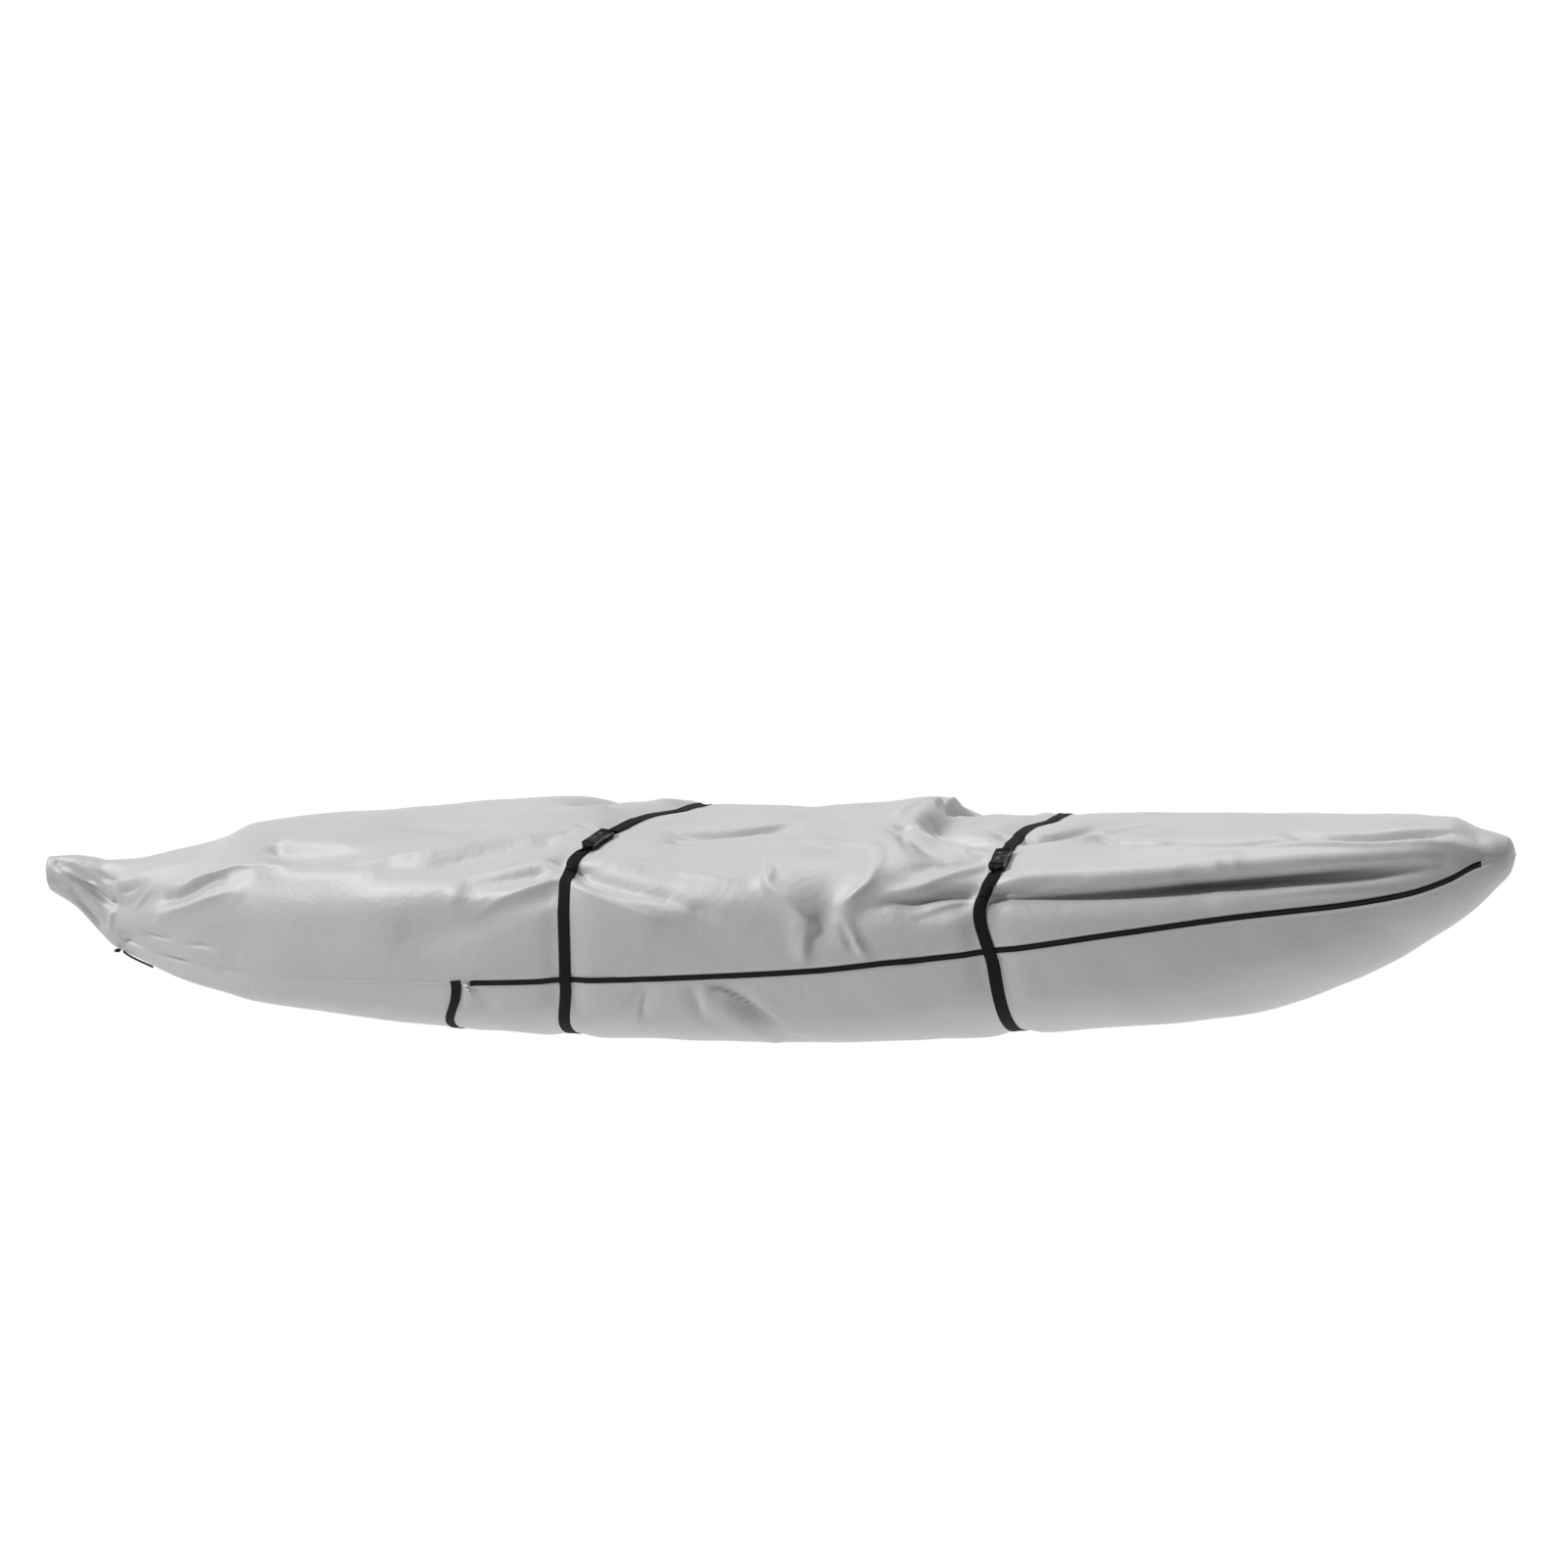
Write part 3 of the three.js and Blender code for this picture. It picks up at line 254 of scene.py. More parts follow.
# Finer creases. Columns: points as (x, girth, depth), width, how flat and how steep-sided the
# crease is (2 is a soft fold), and lean. A lean under 0 makes its upper side the wider one, for
# a crease that is listed from the tail towards the bow.
CREASES = [
    # tail
    ([(-1562, -37, -3), (-1529, -62, -8), (-1490, -76, -8), (-1460, -91, -8), (-1430, -110, -4)],
     6, 2, -0.3),
    ([(-1541, -45, 2), (-1493, -64, 6), (-1466, -69, 6), (-1430, -102, 3)], 6, 1.8, 0),
    ([(-1532, -104, -1), (-1505, -137, -7), (-1478, -167, -5)], 6, 1.8, 0),
    ([(-1421, -90, -1), (-1421, -112, -8), (-1415, -140, -5)], 6, 1.8, 0),
    ([(-1421, -128, 1), (-1432, -148, 6), (-1448, -168, 3)], 6, 1.8, 0),
    ([(-1360, -146, 0), (-1325, -138, 6), (-1295, -124, 1)], 7, 1.8, 0),
    ([(-1585, -60, -1), (-1560, -74, -4), (-1535, -84, -2)], 6, 1.8, 0),
    ([(-1470, -30, 0), (-1440, -52, -5), (-1408, -62, -2)], 6, 1.8, 0),
    ([(-1398, -90, 0), (-1366, -100, -5), (-1330, -104, -1)], 7, 1.8, -0.2),
    # the two bright ridges of the stern, with a hollow between them
    ([(-1241, -196, 2), (-1200, -210, 9), (-1160, -223, 9), (-1085, -248, 5), (-1028, -246, 1)],
     9, 2, 0.2),
    ([(-1190, -165, 2), (-1142, -177, 7), (-1076, -196, 7), (-1019, -194, 5), (-905, -225, 3)],
     7, 1.8, 0),
    ([(-1200, -184, -5), (-1130, -199, -6), (-1060, -217, -3)], 8, 1.8, 0),
    # pleats from the drawn-in end
    ([(-1340, -197, -1), (-1298, -232, -6), (-1232, -266, -3)], 5, 1.6, -0.2),
    ([(-1199, -293, -1), (-1133, -328, -6), (-1091, -366, -1)], 5, 1.6, -0.2),
    ([(-1409, -210, -5), (-1380, -228, -6), (-1349, -246, -1)], 5, 1.6, -0.2),
    ([(-1322, -268, -1), (-1265, -303, -6), (-1208, -336, -6), (-1169, -366, -1)], 5, 1.6, -0.2),
    ([(-1106, -407, -1), (-1076, -422, -5), (-1046, -436, -1)], 5, 1.6, -0.2),
    # stern pocket
    ([(-985, -142, -1), (-923, -170, -7), (-830, -200, -11), (-760, -216, -8), (-680, -228, -1)],
     24, 2, 0.1),
    ([(-926, -224, 2), (-860, -233, 4), (-794, -243, 4), (-697, -254, 2)], 7, 1.8, 0),
    # stern deck, and the edge that runs from it to the first buckle
    ([(-736, -88, -2), (-611, -124, -14), (-500, -148, -15), (-381, -150, -3)], 32, 2, 0.2),
    ([(-788, -262, -1), (-607, -288, -6), (-511, -284, -8), (-422, -262, -8), (-356, -244, -7),
      (-290, -230, -3)], 30, 2, 0.3),
    ([(-720, -250, 2), (-607, -250, 5), (-511, -240, 6), (-422, -226, 6), (-330, -208, 3)],
     11, 2, 0),
    # below the first buckle
    ([(-470, -392, -1), (-398, -362, -4), (-353, -348, -6), (-290, -338, -8), (-236, -332, -8)],
     18, 2, -0.3),
    ([(-238, -346, 5), (-297, -366, 6), (-366, -387, 5), (-420, -412, 1)], 9, 1.8, 0),
    ([(-273, -294, -2), (-252, -301, -8), (-230, -308, -10)], 6, 1.8, 0),
    ([(-208, -314, -14), (-195, -316, -10), (-176, -316, -1)], 6, 1.8, 0),
    ([(-290, -212, -1), (-264, -206, -8), (-250, -205, -8), (-223, -207, -5)], 6, 1.8, 0),
    ([(-250, -165, -2), (-232, -174, -9), (-209, -186, -5)], 6, 1.8, 0),
    # from the first strap over the side
    ([(-214, -344, 7), (-162, -371, 7), (-108, -389, 6), (-39, -412, 5), (20, -436, 1)],
     8, 1.8, 0),
    ([(-208, -331, -16), (-162, -354, -15), (-93, -368, -13), (-9, -382, -9), (60, -398, -2)],
     19, 2, -0.5),
    ([(-200, -292, 2), (-120, -294, 4), (-60, -297, 4), (19, -310, 4), (100, -332, 4),
      (174, -358, 1)], 14, 2, 0),
    ([(42, -396, -1), (75, -406, -6), (112, -421, -1)], 12, 2, 0),
    # deck between the straps
    ([(-166, -150, -2), (-46, -126, -7), (31, -94, -9), (116, -80, -2)], 16, 2, -0.4),
    ([(-60, -150, -1), (-14, -150, -12), (36, -146, -22), (103, -136, -24), (163, -114, -18),
      (214, -98, -1)], 16, 2.4, 0.4),
    ([(-20, -178, 2), (60, -172, 5), (140, -152, 4)], 9, 2, 0),
    # edge round the hollow in the middle of the side
    ([(228, -204, 1), (293, -198, 6), (350, -210, 8), (388, -232, 8), (412, -266, 8),
      (420, -300, 8), (414, -332, 6), (396, -362, 3), (363, -387, 1)], 12, 2, 0),
    ([(356, -392, 1), (381, -372, 6), (406, -352, 2)], 7, 1.8, 0),
    ([(186, -262, 3), (205, -327, 7), (213, -357, 8), (249, -383, 8), (275, -405, 7),
      (292, -424, 4), (280, -464, 5), (275, -502, 4)], 10, 2, 0),
    ([(352, -426, -1), (362, -450, -9), (371, -473, -11), (382, -490, -5)], 8, 1.8, 0),
    ([(366, -428, 4), (384, -464, 8), (398, -492, 3)], 7, 1.8, 0),
    # the peak and its hollows before the second strap
    ([(418, -136, -8), (436, -143, -15), (454, -148, -9)], 8, 2, 0),
    ([(444, -176, -2), (446, -202, -8), (468, -247, -2)], 11, 2, 0),
    ([(474, -128, -5), (520, -136, -18), (566, -150, -26), (612, -162, -20)], 22, 2.4, 0.4),
    ([(458, -156, 3), (512, -172, 7), (575, -200, 6)], 10, 2, 0),
    ([(424, -130, 3), (412, -80, 8), (416, -32, 9), (440, 24, 7)], 12, 2, 0),
    ([(456, 0, 5), (460, 60, 11), (462, 118, 12), (464, 170, 10)], 9, 2, 0),
    ([(484, -10, -6), (488, 50, -24), (492, 112, -26), (500, 170, -14), (506, 210, -4)],
     14, 2.8, 0),
    ([(308, 72, -3), (319, 65, -8), (331, 56, -2)], 8, 1.8, 0),
    # towards the second strap
    ([(486, -314, -2), (534, -262, -11), (570, -247, -14), (612, -238, -10)], 16, 2.2, 0),
    ([(440, -374, 2), (476, -356, 7), (544, -314, 9), (616, -275, 7)], 11, 2, 0),
    ([(421, -401, -2), (478, -383, -12), (525, -359, -20), (566, -347, -22), (616, -340, -20)],
     11, 2.4, -0.4),
    ([(490, -398, 2), (560, -368, 5), (612, -358, 4)], 7, 2, 0),
    ([(645, -334, -17), (673, -328, -13), (716, -324, -4), (742, -320, 0)], 7, 2, 0),
    # long fold under the gunwale
    ([(648, -350, -17), (705, -345, -20), (790, -339, -22), (911, -322, -25), (1001, -306, -30),
      (1120, -279, -36), (1210, -258, -33), (1327, -228, -20), (1400, -200, -10),
      (1470, -168, -2)], 18, 2.8, -0.4),
    ([(700, -349, -3), (790, -343, -9), (911, -327, -15), (1001, -311, -20), (1120, -285, -24),
      (1210, -263, -20), (1300, -240, -11), (1380, -212, -2)], 9, 2.2, -0.3),
    # where two stretches of the long fold meet, so that their ends don't add up
    ([(1010, -300, 5), (1030, -296, 13), (1052, -290, 4)], 24, 2, 0),
    ([(1064, -243, -3), (1080, -240, -7), (1096, -236, -3)], 30, 2, 0),
    # beside the long fold
    ([(697, -325, -3), (749, -315, -7), (819, -303, -2)], 9, 2, 0),
    ([(1153, -300, -1), (1250, -277, -6), (1351, -250, -8), (1430, -220, -2)], 9, 2, -0.3),
    # deck near the bow
    ([(800, -116, -2), (870, -136, -16), (950, -152, -25), (1053, -160, -25), (1130, -150, -18),
      (1210, -128, -2)], 22, 2.4, 0.4),
    ([(1170, -84, -1), (1225, -108, -16), (1290, -118, -25), (1360, -108, -24), (1440, -84, -18),
      (1515, -62, -2)], 19, 2.4, 0.4),
    ([(820, -160, 1), (900, -182, 5), (1000, -194, 6), (1120, -190, 6), (1220, -174, 7),
      (1330, -154, 7), (1430, -122, 6), (1530, -90, 3)], 10, 2, 0),
    ([(650, -114, -12), (705, -128, -27), (758, -96, -24), (812, -8, -2)], 24, 2.4, 0.4),
    ([(660, -170, 4), (715, -182, 7), (797, -124, 8), (895, -5, 3)], 13, 2, 0),
    # far side, where it makes the outline
    ([(448, 215, -8), (478, 238, -17), (520, 240, -14), (560, 196, -11), (612, 148, -15)],
     34, 2, 0),
    ([(660, 172, 6), (694, 184, 9), (724, 190, 2)], 24, 2, 0),
    ([(-250, 100, -3), (-224, 130, -7), (-200, 165, -4)], 34, 2, 0),
    ([(-135, 190, 3), (-114, 218, 8), (-95, 250, 4)], 30, 2, 0),
    ([(120, 160, -3), (140, 185, -9), (160, 130, -6), (176, 90, -3)], 30, 2, 0),
    # hull panel
    ([(-62, -566, -1), (-90, -620, -6), (-114, -689, -2)], 8, 1.8, 0),
    ([(86, -560, -6), (150, -608, -9), (202, -680, -9), (216, -748, -4)], 7, 2, 0),
    ([(42, -570, -2), (44, -600, -6), (46, -630, -1)], 8, 1.8, 0),
    ([(-1024, -462, 0), (-1030, -486, -4), (-1034, -512, -3)], 8, 1.8, 0),
    ([(-966, -500, 0), (-971, -524, -4), (-976, -550, -3)], 8, 1.8, 0),
    ([(-786, -562, 0), (-791, -587, -4), (-790, -615, -3)], 8, 1.8, 0),
    ([(-682, -594, 0), (-687, -619, -4), (-692, -646, -3)], 8, 1.8, 0),
]

# Columns: end of the stretch, number of cells in it
STRETCHES = [
    (-1400, 40), (-484.5, 116), (-459.5, 4), (-232.5, 34), (-207.5, 4), (622.5, 120),
    (647.5, 4), (1480, 100), (BOW_CLOSE_X, 24),
]
UPPER_NEAR_CELLS = 136
UPPER_FAR_CELLS = 26
HULL_NEAR_CELLS = 44
HULL_FAR_CELLS = 18
HEM_FIRST_STEP = 1.5
HEM_STEPS = (0, HEM_FIRST_STEP, HEM_WIDTH - HEM_FIRST_STEP, HEM_WIDTH)

SECTION_STEP = 2
ARC_STEPS = 192
GIRTH_SAMPLES = 401
FOLD_STEPS = 8
CREASE_STEPS = 4
FOLD_REACH = 3
SOFT_FOLD = 2
FOLD_RATIO_MOST = 9
BARE_SLOPE_STEP = 3
CLOTH_SLOPE_STEP = 2.5
SLOPE_STEPS_ROUND = 20
FAR_AWAY = 1e6
PAST_LAST_CELL = 1.000001

BILLOW = 1.6
BILLOW_FULL_GIRTH = 600
BILLOW_LEAST = 0.15
# Columns: turn for each millimetre along and across, start, and size
BILLOW_WAVES = [
    (0.0131, 0.0093, 0.4, 1.0), (-0.0087, 0.0172, 2.1, 0.8), (0.0219, -0.0127, 4.0, 0.5),
    (0.0053, 0.0291, 1.3, 0.6), (-0.0312, -0.0181, 5.2, 0.3), (0.0411, 0.0333, 3.3, 0.22),
]


def bell(distance, spread):
    return np.exp(-((distance / spread) ** 2))


def smooth_curve(rows):
    """A smooth curve through rows of (x, y) that never overshoots them."""
    xs, ys = (np.array(column, float) for column in zip(*rows))
    step = np.diff(xs)
    rise = np.diff(ys) / step
    slope = np.zeros(len(xs))
    slope[0], slope[-1] = rise[0], rise[-1]
    for n in range(1, len(xs) - 1):
        if rise[n - 1] * rise[n] > 0:
            before = 2 * step[n] + step[n - 1]
            after = step[n] + 2 * step[n - 1]
            slope[n] = (before + after) / (before / rise[n - 1] + after / rise[n])

    def curve(x):
        at = np.clip(x, xs[0], xs[-1])
        k = np.clip(np.searchsorted(xs, at, side="right") - 1, 0, len(xs) - 2)
        h = step[k]
        t = (at - xs[k]) / h
        ends = ys[k] * (1 + 2 * t) * (1 - t) ** 2 + ys[k + 1] * t * t * (3 - 2 * t)
        return ends + h * (slope[k] * t * (1 - t) ** 2 - slope[k + 1] * t * t * (1 - t))

    return curve


# Sections of the cover at close stations: side and height by share of the way to the keel
section_x = np.arange(TAIL_X, BOW_X + 1, SECTION_STEP, dtype=float)
keel, beam, crown, half_width, deck_power, hull_power, seam_height = (
    smooth_curve([(row[0], row[column]) for row in STATIONS])(section_x) for column in range(1, 8)
)


def make_sections():
    angle = np.linspace(0, math.pi, ARC_STEPS + 1)
    share = np.linspace(0, 1, GIRTH_SAMPLES)
    shape = (len(section_x), GIRTH_SAMPLES)
    side, height = np.zeros(shape), np.zeros(shape)
    full, seam = np.zeros(shape[0]), np.zeros(shape[0])
    for n in range(shape[0]):
        power = np.where(angle <= math.pi / 2, 2 / deck_power[n], 2 / hull_power[n])
        reach = np.abs(np.cos(angle)) ** power
        out = half_width[n] * np.abs(np.sin(angle)) ** power
        end = np.where(angle <= math.pi / 2, crown[n], keel[n])
        up = beam[n] + (end - beam[n]) * reach
        girth = np.concatenate([[0], np.cumsum(np.hypot(np.diff(out), np.diff(up)))])
        full[n] = girth[-1]
        seam[n] = np.interp(-seam_height[n], -up, girth)
        side[n] = np.interp(share * full[n], girth, out)
        height[n] = np.interp(share * full[n], girth, up)
    return side, height, full, seam


section_side, section_height, section_full, section_seam = make_sections()


def full_girth(x):
    return np.interp(x, section_x, section_full)


def seam_girth(x):
    return np.interp(x, section_x, section_seam)


def bare_surface(x, girth):
    """The cover without folds. A girth past the keel goes on up the other side."""
    x, girth = np.broadcast_arrays(np.asarray(x, float), np.asarray(girth, float))
    share = np.abs(girth) / full_girth(x)
    past = share > 1
    share = np.where(past, 2 - share, share)
    hand = np.sign(girth) * np.where(past, -1, 1)
    row = np.clip((x - TAIL_X) / SECTION_STEP, 0, len(section_x) - PAST_LAST_CELL)
    column = np.clip(share * (GIRTH_SAMPLES - 1), 0, GIRTH_SAMPLES - PAST_LAST_CELL)
    i, j = row.astype(int), column.astype(int)
    a, b = row - i, column - j

    def read(table):
        low = table[i, j] * (1 - b) + table[i, j + 1] * b
        high = table[i + 1, j] * (1 - b) + table[i + 1, j + 1] * b
        return low * (1 - a) + high * a

    return np.stack([x, hand * read(section_side), read(section_height)], -1)


def outward(surface, x, girth, step):
    """Directions out of a surface that is given as a function of x and girth."""
    reach = np.minimum(step, full_girth(x) / SLOPE_STEPS_ROUND)
    before, after = np.maximum(x - reach, TAIL_X), np.minimum(x + reach, BOW_X - 1)
    lengthwise = surface(after, girth) - surface(before, girth)
    across = surface(x, girth + reach) - surface(x, girth - reach)
    out = np.cross(lengthwise, across)
    return out / np.linalg.norm(out, axis=-1, keepdims=True)


def fold_line(row):
    """Points of a fold's middle line, with its width and depth at each, its sharpness and lean."""
    x0, g0, x1, g1, x2, g2, width0, width2, depth0, depth2 = row
    t = np.linspace(0, 1, FOLD_STEPS + 1)

    def bend(a, b, c):
        middle = 2 * b - (a + c) / 2
        return a * (1 - t) ** 2 + 2 * middle * t * (1 - t) + c * t * t

    width = width0 + (width2 - width0) * t
    depth = depth0 + (depth2 - depth0) * t
    return bend(x0, x1, x2), bend(g0, g1, g2), width, depth, SOFT_FOLD, 0


def crease_line(crease):
    """The same of a crease, whose middle line is a smooth curve through its points."""
    points, width, sharp, lean = crease
    given = np.array(points, float)
    ends = np.concatenate([2 * given[:1] - given[1:2], given, 2 * given[-1:] - given[-2:-1]])
    line = []
    for before, start, end, after in zip(ends, ends[1:], ends[2:], ends[3:]):
        for t in np.arange(CREASE_STEPS) / CREASE_STEPS:
            swing = (end - before) * t + (2 * before - 5 * start + 4 * end - after) * t * t
            swing += (3 * start - before - 3 * end + after) * t ** 3
            line.append(start + swing / 2)
    x, girth, depth = np.array([*line, given[-1]]).T
    return x, girth, np.full(len(x), float(width)), depth, sharp, lean


fold_lines = [fold_line(row) for row in FOLDS] + [crease_line(crease) for crease in CREASES]


def fold_relief(x, girth):
    """How far the folds and creases carry the cloth out or in."""
    total = np.zeros(x.shape)
    for line_x, line_g, width, depth, sharp, lean in fold_lines:
        reach = FOLD_REACH * width.max()
        near = (x > line_x.min() - reach) & (x < line_x.max() + reach)
        near &= (girth > line_g.min() - reach) & (girth < line_g.max() + reach)
        if not near.any():
            continue
        px, pg = x[near], girth[near]
        nearest = np.full(px.shape, np.inf)
        found = np.zeros(px.shape)
        for n in range(len(line_x) - 1):
            run, drop = line_x[n + 1] - line_x[n], line_g[n + 1] - line_g[n]
            along = (px - line_x[n]) * run + (pg - line_g[n]) * drop
            t = np.clip(along / (run * run + drop * drop), 0, 1)
            off_x, off_g = px - line_x[n] - t * run, pg - line_g[n] - t * drop
            upper = np.sign(run * off_g - drop * off_x)
            ratio = np.hypot(off_x, off_g) / (width[n] + (width[n + 1] - width[n]) * t)
            ratio = ratio / (1 - lean * upper)
            closer = ratio < nearest
            nearest = np.where(closer, ratio, nearest)
            found = np.where(closer, depth[n] + (depth[n + 1] - depth[n]) * t, found)
        total[near] += found * np.exp(-(np.minimum(nearest, FOLD_RATIO_MOST) ** sharp))
    return total


def billow_relief(x, girth):
    """Soft unevenness of slack cloth, in a few long waves that cross each other."""
    total = np.zeros(x.shape)
    for along, across, start, size in BILLOW_WAVES:
        total += size * np.sin(x * along + girth * across + start)
    return BILLOW * total * np.clip(full_girth(x) / BILLOW_FULL_GIRTH, BILLOW_LEAST, 1)


def hem_relief(x, girth):
    """The doubled hem on both sides of the zip, with a groove where the two meet."""
    away = np.abs(girth + seam_girth(x))
    beside_zip = (x > ZIP_FROM_X - HEM_PAST_ZIP) & (x < ZIP_TO_X + HEM_PAST_ZIP)
    on = (away < HEM_WIDTH - HEM_EDGE) & beside_zip
    return np.where(on, HEM_RAISE, 0) - np.where(on & (away < HEM_EDGE), HEM_GROOVE, 0)


def relief(x, girth, line_x):
    """How far the cloth stands out from its bare section, less near the webbing and the zip."""
    strap_away = np.minimum(np.abs(line_x - BANDS["strap1"][0]), np.abs(line_x - BANDS["strap2"][0]))
    on_hull = girth < -seam_girth(x)
    tab_away = np.where(on_hull, np.abs(line_x - BANDS["tab"][0]), FAR_AWAY)
    on_zip = (girth < 0) & (x > ZIP_FROM_X)
    zip_away = np.where(on_zip, np.abs(girth + seam_girth(x)), FAR_AWAY)
    calm = 1 - STRAP_CALM_SHARE * bell(np.minimum(strap_away, tab_away), STRAP_CALM_SPREAD)
    calm *= 1 - ZIP_CALM_SHARE * bell(zip_away, ZIP_CALM_SPREAD)
    press = STRAP_PRESS * bell(np.maximum(0, strap_away - HALF_WEBBING), STRAP_PRESS_SPREAD)
    return (fold_relief(x, girth) + billow_relief(x, girth)) * calm - press


band_shift = {name: smooth_curve(shifts) for name, (_, shifts) in BANDS.items()}


def shifted_x(line_x, girth):
    """A grid line's place, which moves along the cover with the webbing nearest to it."""
    ends = np.minimum(1, full_girth(line_x) / FULL_SHIFT_GIRTH)
    x = line_x
    for name, (band_x, _) in BANDS.items():
        spread = TAB_SHIFT_SPREAD if name == "tab" else STRAP_SHIFT_SPREAD
        x = x + ends * band_shift[name](girth) * bell(line_x - band_x, spread)
    return x


def cloth_surface(line_x, girth):
    """The cloth's outer face by grid line and girth."""
    line_x, girth = np.broadcast_arrays(np.asarray(line_x, float), np.asarray(girth, float))
    x = shifted_x(line_x, girth)
    fitted = girth * full_girth(x) / full_girth(line_x)
    out = outward(bare_surface, x, fitted, BARE_SLOPE_STEP)
    raised = relief(x, fitted, line_x) + hem_relief(x, fitted)
    return bare_surface(x, fitted) + out * raised[..., None]


def cloth_point(line_x, girth):
    """Points of the cloth with the directions out of it."""
    line_x, girth = np.broadcast_arrays(np.asarray(line_x, float), np.asarray(girth, float))
    out = outward(cloth_surface, line_x, girth, CLOTH_SLOPE_STEP)
    return cloth_surface(line_x, girth), out


def placed(points):
    """Points in the shared frame, in metres."""
    return (np.asarray(points, float) - (0, 0, DECK_UNDERSIDE)) * MM


# Shader maths

MIX_FACTOR, MIX_LOW, MIX_HIGH = 0, 6, 7
MIX_COLOR = 2


class Value:
    """A socket of a material, with the sums that an expression makes of it."""

    def __init__(self, finish, socket):
        self.finish = finish
        self.socket = socket

    def sum(self, operation, *others):
        return self.finish.node("ShaderNodeMath", {"operation": operation}, [self, *others])

    def __add__(self, other):
        return self.sum("ADD", other)

    __radd__ = __add__

    def __mul__(self, other):
        return self.sum("MULTIPLY", other)

    def __sub__(self, other):
        return self.sum("SUBTRACT", other)

    def __rsub__(self, other):
        return self.finish.node("ShaderNodeMath", {"operation": "SUBTRACT"}, [other, self])

    def wave(self, pitch):
        """Even waves along a length, a pitch in metres apart."""
        return (self * (2 * math.pi / pitch)).sum("SINE")


class Finish:
    """A material being made, with its nodes."""

    def __init__(self, name):
        self.material = bpy.data.materials.new(name)
        self.material.use_nodes = True
        self.tree = self.material.node_tree
        self.surface = self.tree.nodes["Principled BSDF"]

    def node(self, kind, settings=None, inputs=None, output=0):
        """Adds a node of the kind, with its settings first and then its sockets' values."""
        node = self.tree.nodes.new(kind)
        for key, value in (settings or {}).items():
            if key == "stops":
                ramp = node.color_ramp
                for n, (place, color) in enumerate(value):
                    stop = ramp.elements[n] if n < 2 else ramp.elements.new(place)
                    stop.position = place
                    stop.color = color
            else:
                setattr(node, key, value)
        pairs = enumerate(inputs) if isinstance(inputs, list) else (inputs or {}).items()
        for key, value in pairs:
            self.feed(node.inputs[key], value)
        return Value(self, node.outputs[output])

    def feed(self, socket, value):
        if isinstance(value, Value):
            self.tree.links.new(value.socket, socket)
        else:
            socket.default_value = value

    def set(self, **values):
        """Feeds the surface's own sockets, named with _ for a space."""
        for key, value in values.items():
            self.feed(self.surface.inputs[key.replace("_", " ")], value)

    def mixed(self, factor, low, high):
        """A colour between two. The node's sockets share names, so they go by number."""
        inputs = {MIX_FACTOR: factor, MIX_LOW: low, MIX_HIGH: high}
        return self.node("ShaderNodeMix", {"data_type": "RGBA"}, inputs, MIX_COLOR)

    def noise(self, place, scale, detail=3.0, roughness=0.5):
        inputs = {"Vector": place, "Scale": scale, "Detail": detail, "Roughness": roughness}
        return self.node("ShaderNodeTexNoise", {}, inputs)

    def bump(self, height, distance, strength=1.0, under=None):
        inputs = {"Height": height, "Distance": distance, "Strength": strength}
        if under is not None:
            inputs["Normal"] = under
        return self.node("ShaderNodeBump", {}, inputs)

    def uv_parts(self):
        """The two parts of the piece's own map, across and along, in metres."""
        place = self.node("ShaderNodeUVMap", {"uv_map": "UVMap"})
        across = self.node("ShaderNodeSeparateXYZ", {}, [place])
        along = Value(self, across.socket.node.outputs[1])
        return across, along

    def object_place(self):
        return self.node("ShaderNodeTexCoord", output="Object")


# Pitches of weaves and braids, in metres
CLOTH_THREAD = 0.0018
WEBBING_RIB = 0.0022
WEBBING_ROW = 0.0031
WEBBING_TWILL = 0.0016
ZIP_WARP = 0.0011
ZIP_WEFT = 0.0016
BRAID_PITCH = 0.0024
BRAID_SLANT = 0.012


def grey(level, tint=(0, 0, 0)):
    return (*(level + part for part in tint), 1)


def silver_cloth(name, level):
    """Coated polyester: a satin skin over a fine plain weave, softly crumpled."""
    cloth = Finish(name)
    across, along = cloth.uv_parts()
    place = cloth.object_place()
    weave = across.wave(CLOTH_THREAD) * along.wave(CLOTH_THREAD)
    blotch = cloth.noise(place, 5.5, 4.0, 0.55)
    crumple = cloth.noise(place, 26.0, 5.0, 0.55)
    grain = cloth.noise(place, 900.0, 2.0, 0.6)
    base = cloth.mixed(blotch, grey(level * 0.93), grey(level * 1.05))
    shaded = cloth.mixed(crumple * 0.35, base, grey(level * 0.9, (0, 0.002, 0.006)))
    color = cloth.mixed(weave * 0.06 + 0.06, shaded, grey(level * 0.8))
    under = cloth.bump(crumple, 0.006, 0.35)
    under = cloth.bump(cloth.noise(place, 95.0, 3.0, 0.5), 0.0012, 0.3, under)
    under = cloth.bump(weave + grain * 0.4, 0.00012, 0.35, under)
    cloth.set(
        Base_Color=color, Roughness=0.44 + (blotch * 0.16 + grain * 0.05), Metallic=0.12,
        Normal=under, Sheen_Weight=0.06, Sheen_Roughness=0.4, Specular_IOR_Level=0.5,
    )
    return cloth.material


